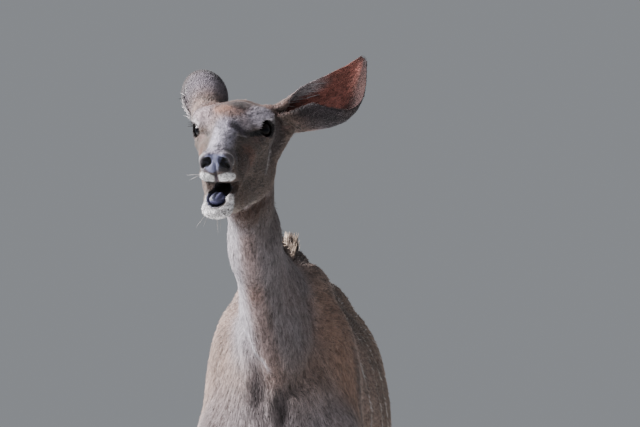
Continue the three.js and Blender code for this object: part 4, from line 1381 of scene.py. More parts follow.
            # painted shade deep in each ear's cup near its base
            self.lay(t.nostril, own * (1 - outer) * smooth(0.42, 0.22, u) * 0.6)
            self.lay(t.ear_pale, own * (1 - outer) * smooth(0.55, 0.8, share) * smooth(0.75, 0.5, u) * 0.8)
            self.lay(t.ear_rim, own * smooth(0.93, 0.99, u) * 0.7)
            self.lay(t.ear_rim, own * outer * smooth(0.62, 0.78, u) * 0.7)

    def comb(self) -> None:
        """Works out the lie of the hair, along the skin, and how far it hangs down."""
        x, y, z = self.points.T
        lie = np.tile(np.array([0.0, 0.86, -0.5]), (len(x), 1))
        top = smooth(1120, 1180, z) * smooth(40, 120, y)
        lie += (np.array([0, 1, -0.05]) - lie) * top[:, None]
        front = np.clip(smooth(60, -120, y) * smooth(1250, 1050, z) + self.weight[Part.NECK], 0, 1)
        lie += (np.array([0, 0.3, -0.95]) - lie) * front[:, None]
        legs = self.legs(900, 720)
        lie += (np.array([0, 0.12, -1]) - lie) * legs[:, None]
        tail = self.weight[Part.TAIL] * smooth(950, 990, y)
        lie += (np.array([0, 0.25, -1]) - lie) * tail[:, None]
        head = self.weight[Part.HEAD]
        h = self.head
        on_face = np.stack([0.25 * np.sign(h[:, 0]) * smooth(0, 40, np.abs(h[:, 0])), 1 + 0 * x, -0.25 + 0 * x], 1)
        whorl = h - np.array([9, -50, 34])
        swirl = np.exp(-((np.linalg.norm(whorl, axis=1) / 20) ** 2))
        round_it = np.cross(whorl, self.normals @ HEAD[:3, :3])
        on_face = on_face + (unit(round_it) * 1.2 + unit(whorl) * 0.8 - on_face) * swirl[:, None]
        lie += (on_face @ HEAD[:3, :3].T - lie) * head[:, None]
        self.down = np.clip(front + legs + tail, 0, 1) * (1 - head)
        for ear in EARS:
            own = self.weight[ear.part]
            _, angle, _, _ = ear.locate(self.points)
            along = ear.length - ear.across * (0.35 * np.sin(angle))[:, None]
            lie += (along - lie) * own[:, None]
        flat = lie - self.normals * (lie * self.normals).sum(1, keepdims=True)
        self.lie = unit(flat)

    def thicken(self) -> None:
        """Works out tuft sizes (across and along, in millimetres) and how many grow on a square centimetre."""
        x, y, z = self.points.T
        fine, ears = self.face(), self.ears()
        nose = fine * smooth(-60, -190, self.head[:, 1])
        feet = smooth(420, 180, z)
        long = 13 + 2 * smooth(200, 500, y) - 3 * self.weight[Part.NECK]
        long = long + (6.5 - long) * np.maximum(fine, ears)
        long = long + (4.2 - long) * nose
        long = long + (7 - long) * feet
        wide = long * 0.17
        self.size = sized(wide, long, wide * 0.4)
        count = 3.6 + (14 - 3.6) * np.maximum(fine, ears) + 2.0 * feet * (1 - fine)
        bare = np.clip(self.moist * 1.6, 0, 1)
        ball = np.linalg.norm(mirrored(self.head) - [EYE_ASIDE, 0, 0], axis=1)
        bare = np.maximum(bare, smooth(EYE_RADIUS + 4.5, EYE_RADIUS + 3.8, ball))
        self.cover = count * (1 - bare)


@dataclass
class Wire:
    """One output of a node tree, which can be used in sums."""

    net: Net
    socket: bpy.types.NodeSocket

    def maths(self, operation: str, first: Wire | float, second: Wire | float = 0.0) -> Wire:
        """Returns the result of a Math node."""
        return self.net.node("ShaderNodeMath", {"operation": operation}, {0: first, 1: second})

    def __add__(self, other: Wire | float) -> Wire:
        """Returns self + other."""
        return self.maths("ADD", self, other)

    def __radd__(self, other: float) -> Wire:
        """Returns other + self."""
        return self.maths("ADD", other, self)

    def __sub__(self, other: Wire | float) -> Wire:
        """Returns self - other."""
        return self.maths("SUBTRACT", self, other)

    def __rsub__(self, other: float) -> Wire:
        """Returns other - self."""
        return self.maths("SUBTRACT", other, self)

    def __mul__(self, other: Wire | float) -> Wire:
        """Returns self times other."""
        return self.maths("MULTIPLY", self, other)

    def __rmul__(self, other: float) -> Wire:
        """Returns other times self."""
        return self.maths("MULTIPLY", other, self)

    def __truediv__(self, other: Wire | float) -> Wire:
        """Returns self over other."""
        return self.maths("DIVIDE", self, other)

    def __rtruediv__(self, other: float) -> Wire:
        """Returns other over self."""
        return self.maths("DIVIDE", other, self)

    def power(self, exponent: float) -> Wire:
        """Returns self to a power."""
        return self.maths("POWER", self, exponent)

    def unsigned(self) -> Wire:
        """Returns self without its sign."""
        return self.maths("ABSOLUTE", self)

    def step(self, low: float, high: float) -> Wire:
        """Returns a smooth step of 0 at low to 1 at high."""
        settings = {"interpolation_type": "SMOOTHSTEP"}
        return self.net.node("ShaderNodeMapRange", settings, {0: self, 1: low, 2: high})


@dataclass
class Net:
    """A node tree that is built with plain calls."""

    tree: bpy.types.NodeTree

    def node(
        self, kind: str, settings: dict[str, object] | None = None, inputs: dict[int | str, object] | None = None,
        output: int | str = 0,
    ) -> Wire:
        """Adds a node.

        Args:
            kind: its type.
            settings: its properties, set first.
            inputs: values or wires for its sockets.
            output: which of its outputs is returned.

        Returns:
            The wire from that output.
        """
        made = self.tree.nodes.new(kind)
        for name, value in (settings or {}).items():
            setattr(made, name, value)
        for key, value in (inputs or {}).items():
            if isinstance(value, Wire):
                self.tree.links.new(value.socket, made.inputs[key])
            else:
                made.inputs[key].default_value = value
        return Wire(self, made.outputs[output])

    def attribute(self, name: str, output: str) -> Wire:
        """Returns an attribute of the mesh: its Color, Vector or Fac."""
        return self.node("ShaderNodeAttribute", {"attribute_name": name}, output=output)

    def part(self, vector: Wire, axis: str) -> Wire:
        """Returns a vector's share along X, Y or Z."""
        return self.node("ShaderNodeSeparateXYZ", {}, {0: vector}, output=axis)

    def feed(self, shader: bpy.types.Node, **wires: Wire) -> None:
        """Links wires to a shader's sockets, which are named with underscores for spaces."""
        for name, wire in wires.items():
            self.tree.links.new(wire.socket, shader.inputs[name.replace("_", " ")])

    def noise(self, place: Wire, scale: float, detail: float = 3.0, spread: float = 0.0) -> Wire:
        """Returns noise of about 0.2 to 0.8 at a scale in turns per metre."""
        inputs = {"Vector": place, "Scale": scale, "Detail": detail, "Distortion": spread}
        return self.node("ShaderNodeTexNoise", {}, inputs)

    def stretched(self, place: Wire, scales: Point) -> Wire:
        """Returns a place that is scaled by axis."""
        return self.node("ShaderNodeVectorMath", {"operation": "MULTIPLY"}, {0: place, 1: tuple(scales)})

    def blend(self, share: Wire | float, first: Wire | Point, second: Wire | Point) -> Wire:
        """Returns a mix of two colours."""
        inputs = {0: share, 6: first, 7: second}
        return self.node("ShaderNodeMix", {"data_type": "RGBA"}, inputs, output=2)

    def scaled(self, vector: Wire, by: Wire) -> Wire:
        """Returns a vector or a colour times a number."""
        return self.node("ShaderNodeVectorMath", {"operation": "SCALE"}, {0: vector, "Scale": by})

    def bump(self, height: Wire, depth: float, strength: float = 1.0) -> Wire:
        """Returns the normal of a height whose full range is depth, in metres."""
        return self.node("ShaderNodeBump", {}, {"Strength": strength, "Distance": depth, "Height": height})


def new_finish(name: str, **constants: float | Sequence[float]) -> tuple[bpy.types.Material, Net, bpy.types.Node]:
    """Returns a material, its net and its shader, with constants set on the shader's own sockets.

    Args:
        name: its name.
        **constants: values by socket, with underscores for spaces.

    Returns:
        The material, its net and its shader.
    """
    made = bpy.data.materials.new(name)
    made.use_nodes = True
    shader = made.node_tree.nodes["Principled BSDF"]
    for key, value in constants.items():
        shader.inputs[key.replace("_", " ")].default_value = value
    return made, Net(made.node_tree), shader


def rgba(red: float, green: float, blue: float) -> tuple[float, float, float, float]:
    """Returns a colour given in display values for a shader's socket."""
    return (*linear(red, green, blue), 1.0)


@dataclass(frozen=True)
class CoatFinish:
    """Short dry hair over skin, with thin white stripes on the flanks and moist nose and mouth."""

    grain: float = 0.62
    streak: float = 0.5
    mottle: float = 0.26
    broad: float = 0.34
    fleck: float = 0.75
    stripe_spacing: float = 0.112
    stripe_half_width: float = 0.0036
    dry: float = 0.82
    wet: float = 0.34

    def stripes(self, net: Net, place: Wire) -> Wire:
        """Returns the mask of the flank stripes.

        Args:
            net: the net that it is added to.
            place: the place on the skin.

        Returns:
            The mask.
        """
        parts = net.part(place, "Y")
        wobble = net.noise(net.stretched(place, (0.2, 1.0, 1.0)), 5.5, 2.0) - 0.5
        turns = (parts + wobble * 0.13) / self.stripe_spacing
        inside = (turns.maths("FRACT", turns) - 0.5).unsigned() * self.stripe_spacing
        ragged = (net.noise(place, 160.0, 2.0) - 0.5) * 0.004
        return 1 - (inside + ragged).step(self.stripe_half_width * 0.7, self.stripe_half_width * 1.5)

    def strands(self, net: Net, place: Wire, scale: float, detail: float, edge: float) -> Wire:
        """Returns noise drawn out along the hair: down where it hangs and aft where it trails.

        Args:
            net: the net that it is added to.
            place: the place on the skin.
            scale: turns per metre across the hair.
            detail: how much finer noise it holds.
            edge: how far the step between its two values is from 0 and from 1.

        Returns:
            The noise, from 0 to 1.
        """
        down = net.attribute("down", "Fac")
        fall, trail = net.stretched(place, (1, 1, 0.36)), net.stretched(place, (1, 0.36, 1))
        mixed = net.noise(fall, scale, detail) * down + net.noise(trail, scale, detail) * (1 - down)
        return mixed.step(edge, 1 - edge)

    def build(self) -> bpy.types.Material:
        """Returns the material."""
        made, net, shader = new_finish("coat", Sheen_Weight=0.12, Sheen_Roughness=0.6, Specular_IOR_Level=0.28)
        place = net.attribute("place", "Vector")
        tone = net.attribute("tone", "Color")
        tip = net.attribute("tip", "Fac")
        moist = net.attribute("moist", "Fac")
        fine = self.strands(net, place, 330.0, 2.0, 0.34)
        coarse = self.strands(net, place, 140.0, 3.0, 0.36)
        hair = fine * 0.5 + coarse * 0.5
        mottle = net.noise(place, 22.0, 4.0).step(0.32, 0.68)
        broad = self.strands(net, place, 52.0, 2.0, 0.34)
        dry = 1 - moist
        value = 1 + ((fine - 0.5) * self.grain + (coarse - 0.5) * self.streak + (mottle - 0.5) * self.mottle
                     + (broad - 0.5) * self.broad) * dry
        value = value * (0.80 + tip * 0.62)
        for scale, edge in ((20.0, 0.09), (62.0, 0.13)):
            spots = net.node("ShaderNodeTexVoronoi", {}, {"Vector": place, "Scale": scale}, output="Distance")
            chance = Wire(net, spots.socket.node.outputs["Color"])
            chance = net.part(chance, "X")
            flecks = (1 - spots.step(edge * 0.66, edge)) * chance.step(0.5, 0.52) * dry
            value = value * (1 - flecks * self.fleck)
        colour = net.scaled(tone, value)
        warm = net.noise(place, 6.0, 2.0).step(0.4, 0.7)
        colour = net.blend(warm * dry * 0.16, colour, rgba(150, 112, 92))
        stripes = self.stripes(net, place) * net.attribute("striped", "Fac")
        colour = net.blend(stripes * (0.15 + broad * 0.75), colour, rgba(226, 220, 216))
        net.feed(shader, Base_Color=colour)
        net.feed(shader, Roughness=(self.dry - (self.dry - self.wet) * moist))
        pebbles = net.noise(place, 700.0, 1.0)
        height = hair * dry + pebbles * moist * 0.35
        net.feed(shader, Normal=net.bump(height, 0.0045, 1.0))
        return made


@dataclass(frozen=True)
class LongHairFinish:
    """Coarse long hair of mane, crest and tail, in the tones of its roots and tips."""

    def build(self) -> bpy.types.Material:
        """Returns the material."""
        made, net, shader = new_finish("long_hair", Roughness=0.62, Specular_IOR_Level=0.35)
        place = net.attribute("place", "Vector")
        strand = net.noise(place, 300.0, 2.0)
        along = net.noise(net.stretched(net.node("ShaderNodeTexCoord", output="Object"), (1, 1, 0.2)), 500.0, 2.0)
        tip = net.attribute("tip", "Fac")
        root_tone = net.attribute("tone", "Color")
        tip_tone = net.attribute("tip_tone", "Color")
        colour = net.blend((tip + (strand - 0.5) * 0.5).step(0.25, 0.8), root_tone, tip_tone)
        colour = net.scaled(colour, 0.78 + strand * 0.44)
        net.feed(shader, Base_Color=colour)
        net.feed(shader, Normal=net.bump(along, 0.0006))
        return made


@dataclass(frozen=True)
class EyeFinish:
    """A dark brown iris round a long level pupil, under a wet cornea."""

    iris_radius: float = 0.0145
    pupil_half_length: float = 0.0088
    pupil_half_height: float = 0.0044

    def build(self) -> bpy.types.Material:
        """Returns the material."""
        made, net, shader = new_finish("eye", Roughness=0.06, Specular_IOR_Level=0.14)
        gaze = net.attribute("gaze", "Vector")
        across = net.part(gaze, "X")
        height = net.part(gaze, "Z")
        away = (across * across + height * height).power(0.5)
        u, v = across / self.pupil_half_length, height / self.pupil_half_height
        pupil = 1 - (u * u + v * v).power(0.5).step(0.85, 1.12)
        rays = net.noise(net.stretched(gaze, (1, 0.1, 1)), 900.0, 2.0)
        iris = net.blend(rays, rgba(12, 8, 8), rgba(21, 14, 12))
        iris = net.blend(away.step(self.iris_radius * 0.55, self.iris_radius), iris, rgba(11, 8, 8))
        colour = net.blend(pupil, iris, rgba(7, 7, 11))
        colour = net.blend(away.step(self.iris_radius, self.iris_radius * 1.12), colour, rgba(14, 11, 12))
        net.feed(shader, Base_Color=colour)
        return made


@dataclass(frozen=True)
class HoofFinish:
    """Dark horn with growth bands round it and fine grain down it."""

    band_height: float = 0.0042

    def build(self) -> bpy.types.Material:
        """Returns the material."""
        made, net, shader = new_finish("hoof", Specular_IOR_Level=0.45)
        place = net.node("ShaderNodeTexCoord", output="Object")
        z = net.part(place, "Z")
        wander = net.noise(place, 60.0, 2.0)
        turns = (z / self.band_height + wander * 2.2) * math.tau
        bands = turns.maths("SINE", turns) * 0.5 + 0.5
        grain = net.noise(net.stretched(place, (1, 1, 0.08)), 900.0, 3.0)
        dust = net.noise(place, 120.0, 4.0).step(0.5, 0.75) * (1 - z.step(0.0, 0.03))
        colour = net.blend(bands * 0.5 + grain * 0.5, rgba(38, 34, 33), rgba(82, 74, 68))
        colour = net.blend(dust * 0.7, colour, rgba(134, 116, 96))
        net.feed(shader, Base_Color=colour)
        net.feed(shader, Roughness=(0.42 + dust * 0.35 + grain * 0.12))
        net.feed(shader, Normal=net.bump(bands * 0.5 + grain * 0.5, 0.0009))
        return made


@dataclass(frozen=True)
class TongueFinish:
    """A moist grey-blue tongue with fine papillae."""

    def build(self) -> bpy.types.Material:
        """Returns the material."""
        made, net, shader = new_finish("tongue", Specular_IOR_Level=0.22)
        place = net.node("ShaderNodeTexCoord", output="Object")
        cloud = net.noise(place, 70.0, 3.0)
        bead = net.node("ShaderNodeTexVoronoi", {}, {"Vector": place, "Scale": 900.0}, output="Distance")
        groove = net.attribute("groove", "Fac")
        colour = net.blend(cloud, rgba(76, 76, 104), rgba(102, 102, 134))
        # the groove attribute darkens the middle dent as painted shade, and a dark band beside it
        colour = net.blend(groove, colour, rgba(40, 44, 54))
        net.feed(shader, Base_Color=colour)
        net.feed(shader, Roughness=(0.42 + cloud * 0.2))
        net.feed(shader, Normal=net.bump(bead, 0.0004))
        return made


BODY_COATS = 3
BODY_SEED = 11


class Growth(Enum):
    """What grows out of the skin, each from its own share of the points."""

    BODY_COAT = "body_coat"
    FACE_COAT = "face_coat"
    MANE = "mane"
    CREST = "crest"
    SPINE_HAIR = "spine_hair"
    TAIL_HAIR = "tail_hair"
    EAR_FRINGE = "ear_fringe"
    WHISKERS = "whiskers"
    LASHES = "lashes"


@dataclass
class Tuft:
    """One tuft of hair: a thin blade of triangular section that tapers and bends to its tip along Y."""

    name: str
    steps: int = 1
    bend: float = 0.12
    taper: float = 1.0

    def build(self) -> bpy.types.Object:
        """Returns the tuft, one unit long and one wide, outside the scene."""
        rings = []
        for i in range(self.steps):
            t = i / self.steps
            width = 0.5 * (1 - t**self.taper) if i else 0.42
            lift = self.bend * t * t
            rings.append([(-width, t, lift), (width, t, lift), (0, t, lift + 2.0 * width)])
        points = [p for ring in rings for p in ring] + [(0, 1, self.bend)]
        faces = [(0, 1, 2)]
        for i in range(self.steps - 1):
            for k in range(3):
                a, b = 3 * i + k, 3 * i + (k + 1) % 3
                faces.append((b, a, a + 3, b + 3))
        last = 3 * (self.steps - 1)
        faces += [(last + (k + 1) % 3, last + k, len(points) - 1) for k in range(3)]
        mesh = bpy.data.meshes.new(self.name)
        mesh.from_pydata(points, [], faces)
        places = np.array(points)
        set_attribute(mesh, "tip", "FLOAT", places[:, 1])
        set_attribute(mesh, "patch", "FLOAT_VECTOR", np.stack([places[:, 0], places[:, 1], 0 * places[:, 0]], 1))
        return bpy.data.objects.new(self.name, mesh)


@dataclass
class GrowthTree:
    """A Geometry Nodes tree that roots tufts in a skin and turns them to its lie.

    The skin's attributes cover, lie and size say how many tufts grow on a square metre, which way they point and how
    wide, long and thick they are.
    """

    name: str
    inputs: dict[str, str] = field(default_factory=dict)

    def build(self) -> bpy.types.NodeTree:
        """Returns the tree."""
        tree = bpy.data.node_groups.new(self.name, "GeometryNodeTree")
        kinds = {"Skin": "NodeSocketGeometry", "Tuft": "NodeSocketObject", "Share": "NodeSocketFloat",
                 "Unevenness": "NodeSocketFloat", "Tousle": "NodeSocketFloat", "Seed": "NodeSocketInt",
                 "Finish": "NodeSocketMaterial"}
        for label, kind in kinds.items():
            made = tree.interface.new_socket(label, in_out="INPUT", socket_type=kind)
            self.inputs[label] = made.identifier
        tree.interface.new_socket("Hair", in_out="OUTPUT", socket_type="NodeSocketGeometry")
        net = Net(tree)
        given = {label: net.node("NodeGroupInput", output=label) for label in kinds}
        seed = given["Seed"]
        cover = self.named(net, "cover", "FLOAT")
        dense = cover * given["Share"]
        scatter = net.node("GeometryNodeDistributePointsOnFaces", {}, {"Mesh": given["Skin"], "Seed": seed}, "Points")
        spots = scatter.socket.node
        tree.links.new(dense.socket, next(s for s in spots.inputs if s.name == "Density" and s.enabled))
        normal = Wire(net, spots.outputs["Normal"])
        placed = self.stored(net, scatter, "place", net.node("GeometryNodeInputPosition"))
        placed = self.stored(net, placed, "outward", normal)
        lie = self.named(net, "lie", "FLOAT_VECTOR")
        lean = self.random(net, "FLOAT_VECTOR", seed, 1)
        lean = net.scaled(lean, given["Tousle"])
        lie = net.node("ShaderNodeVectorMath", {"operation": "ADD"}, {0: lie, 1: lean})
        along = net.node("FunctionNodeAlignRotationToVector", {"axis": "Y"}, {"Vector": lie})
        faced = net.node("FunctionNodeAlignRotationToVector", {"axis": "Z", "pivot_axis": "Y"},
                         {"Rotation": along, "Vector": normal})
        growth = self.random(net, "FLOAT", seed, 2) * given["Unevenness"] + 1.0
        size = net.scaled(self.named(net, "size", "FLOAT_VECTOR"), growth)
        shape = net.node("GeometryNodeObjectInfo", {}, {"Object": given["Tuft"]}, "Geometry")
        grown = net.node("GeometryNodeInstanceOnPoints", {},
                         {"Points": placed, "Instance": shape, "Rotation": faced, "Scale": size})
        real = net.node("GeometryNodeRealizeInstances", {}, {"Geometry": grown})
        done = net.node("GeometryNodeSetMaterial", {}, {"Geometry": real, "Material": given["Finish"]})
        ending = tree.nodes.new("NodeGroupOutput")
        tree.links.new(done.socket, ending.inputs["Hair"])
        return tree

    @staticmethod
    def named(net: Net, name: str, kind: str) -> Wire:
        """Returns an attribute of the skin.

        Args:
            net: the net that it is added to.
            name: the attribute.
            kind: its data type.

        Returns:
            Its wire.
        """
        made = net.tree.nodes.new("GeometryNodeInputNamedAttribute")
        made.data_type = kind
        made.inputs["Name"].default_value = name
        return Wire(net, next(s for s in made.outputs if s.name == "Attribute" and s.enabled))

    @staticmethod
    def random(net: Net, kind: str, seed: Wire, draw: int) -> Wire:
        """Returns random values of -1 to 1 that differ by draw.

        Args:
            net: the net that they are added to.
            kind: their data type.
            seed: the wire of the seed.
            draw: which draw it is.

        Returns:
            Their wire.
        """
        made = net.tree.nodes.new("FunctionNodeRandomValue")
        made.data_type = kind
        low, high = [s for s in made.inputs if s.enabled and s.name in ("Min", "Max")]
        low.default_value = (-1, -1, -1) if kind == "FLOAT_VECTOR" else -1
        high.default_value = (1, 1, 1) if kind == "FLOAT_VECTOR" else 1
        own = seed + float(draw)
        net.tree.links.new(own.socket, made.inputs["Seed"])
        return Wire(net, next(s for s in made.outputs if s.enabled))

    @staticmethod
    def stored(net: Net, geometry: Wire, name: str, value: Wire) -> Wire:
        """Stores a vector on points.

        Args:
            net: the net that it is added to.
            geometry: the points.
            name: the attribute.
            value: the wire of the vector.

        Returns:
            The points.
        """
        made = net.tree.nodes.new("GeometryNodeStoreNamedAttribute")
        made.data_type = "FLOAT_VECTOR"
        made.domain = "POINT"
        made.inputs["Name"].default_value = name
        net.tree.links.new(geometry.socket, made.inputs["Geometry"])
        net.tree.links.new(value.socket, next(s for s in made.inputs if s.name == "Value" and s.enabled))
        return Wire(net, made.outputs["Geometry"])


@dataclass
class Studio:
    """Floor, lights and the camera, which looks from where the photograph was taken."""

    azimuth: float = 4.5
    distance: float = 9.0
    focal: float = 294.3
    eyes_aside: float = 0.1496
    eyes_above: float = 0.144
    camera_over_eyes: float = -0.077
    sensor: float = 36.0
    aim: Triple = (0.0, -0.3, 1.2)
    floor_reach: float = 20.0

    def camera(self) -> None:
        """Adds the camera."""
        turn = math.radians(self.azimuth)
        right = Vector((math.cos(turn), math.sin(turn), 0))
        back = Vector((math.sin(turn), -math.cos(turn), 0))
        target = Vector(EYES_MIDDLE) + right * self.eyes_aside - Vector((0, 0, self.eyes_above))
        place = target + back * self.distance
        place.z = EYES_MIDDLE[2] + self.camera_over_eyes
        data = bpy.data.cameras.new("camera")
        data.lens = self.focal
        data.sensor_width = self.sensor
        data.clip_end = 60
        made = bpy.data.objects.new("camera", data)
        made.location = place
        made.rotation_euler = (target - place).to_track_quat("-Z", "Y").to_euler()
        bpy.context.scene.collection.objects.link(made)
        bpy.context.scene.camera = made

    def light(self, name: str, place: Point, power: float, size: float, color: Point) -> None:
        """Adds a soft lamp that faces the cow's shoulders.

        Args:
            name: its name.
            place: where it hangs.
            power: its watts.
            size: its width.
            color: its light.
        """
        data = bpy.data.lights.new(name, "AREA")
        data.energy = power
        data.size = size
        data.color = color
        made = bpy.data.objects.new(name, data)
        made.location = place
        made.rotation_euler = (Vector(self.aim) - Vector(place)).to_track_quat("-Z", "Y").to_euler()
        bpy.context.scene.collection.objects.link(made)

    def build(self) -> None:
        """Adds the whole studio."""
        self.camera()
        self.light("key", (-4.8, -1.9, 4.2), 680, 1.6, (1.0, 0.99, 1.0))
        self.light("fill", (-1.2, -6.6, 2.2), 60, 0.9, (0.97, 0.97, 1.0))
        self.light("back", (-3.4, 2.4, 3.2), 420, 1.6, (1.0, 1.0, 1.0))
        world = bpy.data.worlds.new("world")
        world.use_nodes = True
        sky = world.node_tree.nodes["Background"]
        sky.inputs["Color"].default_value = (0.80, 0.84, 0.90, 1)
        sky.inputs["Strength"].default_value = 0.31
        bpy.context.scene.world = world
        floor = bpy.data.meshes.new("floor")
        reach = self.floor_reach
        corners = [(-reach, -reach, 0), (reach, -reach, 0), (reach, reach, 0), (-reach, reach, 0)]
        floor.from_pydata(corners, [], [(0, 1, 2, 3)])
        made = new_object("floor", floor)
        paint, _, _ = new_finish("floor", Base_Color=(0.72, 0.72, 0.71, 1), Roughness=0.85)
        floor.materials.append(paint)


UNWRAP = {
    Part.TRUNK: (0.0, 0.0, 0.66, 0.55), Part.NECK: (0.66, 0.0, 0.34, 0.3), Part.HEAD: (0.66, 0.3, 0.34, 0.4),
    Part.EAR_LEFT: (0.0, 0.55, 0.2, 0.25), Part.EAR_RIGHT: (0.2, 0.55, 0.2, 0.25),
    Part.FORE_LEFT: (0.0, 0.8, 0.15, 0.2), Part.FORE_RIGHT: (0.15, 0.8, 0.15, 0.2),
    Part.HIND_LEFT: (0.3, 0.8, 0.15, 0.2), Part.HIND_RIGHT: (0.45, 0.8, 0.15, 0.2), Part.TAIL: (0.62, 0.8, 0.1, 0.2),
}


def unwrapped(points: Array, flesh: dict[Part, Flesh]) -> Array:
    """Returns where points lie on a map of the skin: each part rolled out into a rectangle of its own.

    Args:
        points: places in the cow's own frame.
        flesh: the flesh of each part.

    Returns:
        Two coordinates for each point, from 0 to 1.
    """
    away = np.stack([flesh[part].at(points) for part in flesh], 1)
    owner = np.array([part.value for part in flesh])[away.argmin(1)]
    places = np.zeros((len(points), 2))
    head = into_frame(HEAD, points)
    neck_middle = -HEAD_ASIDE * smooth(-20, -400, points[:, 1])
    for part in Part:
        x, y, z = points.T
        if part in (Part.EAR_LEFT, Part.EAR_RIGHT):
            ear = EARS[part.value - Part.EAR_LEFT.value]
            along, angle, depth, inner = ear.locate(points)
            near = (np.abs(depth - 2) < 4.5) & (along > 0.1) & (along < 1.05)
            owner[near] = part.value
            turn = (angle / math.tau + 0.5) * 0.48 + 0.51 * inner
        elif part is Part.TRUNK:
            along, turn = (y + 320) / 1360, np.arctan2(x, z - 1010) / math.tau + 0.5
        elif part is Part.NECK:
            along, turn = (z - 1000) / 580, np.arctan2(x - neck_middle, y + 0.7 * (z - 1130)) / math.tau + 0.5
        elif part is Part.HEAD:
            along, turn = (head[:, 1] + 235) / 400, np.arctan2(head[:, 0], head[:, 2] + 40) / math.tau + 0.5
        elif part is Part.TAIL:
            along, turn = (z - 740) / 440, np.arctan2(x, y - 1030) / math.tau + 0.5
        else:
            hind = part in (Part.HIND_LEFT, Part.HIND_RIGHT)
            middle = 890 if hind else 0
            along, turn = z / 900, np.arctan2(np.abs(x) - 94, y - middle) / math.tau + 0.5
        mine = owner == part.value
        u0, v0, wide, high = UNWRAP[part]
        spot = np.stack([u0 + np.clip(turn, 0.01, 0.99) * wide, v0 + np.clip(along, 0.01, 0.99) * high], 1)
        places[mine] = spot[mine]
    return places


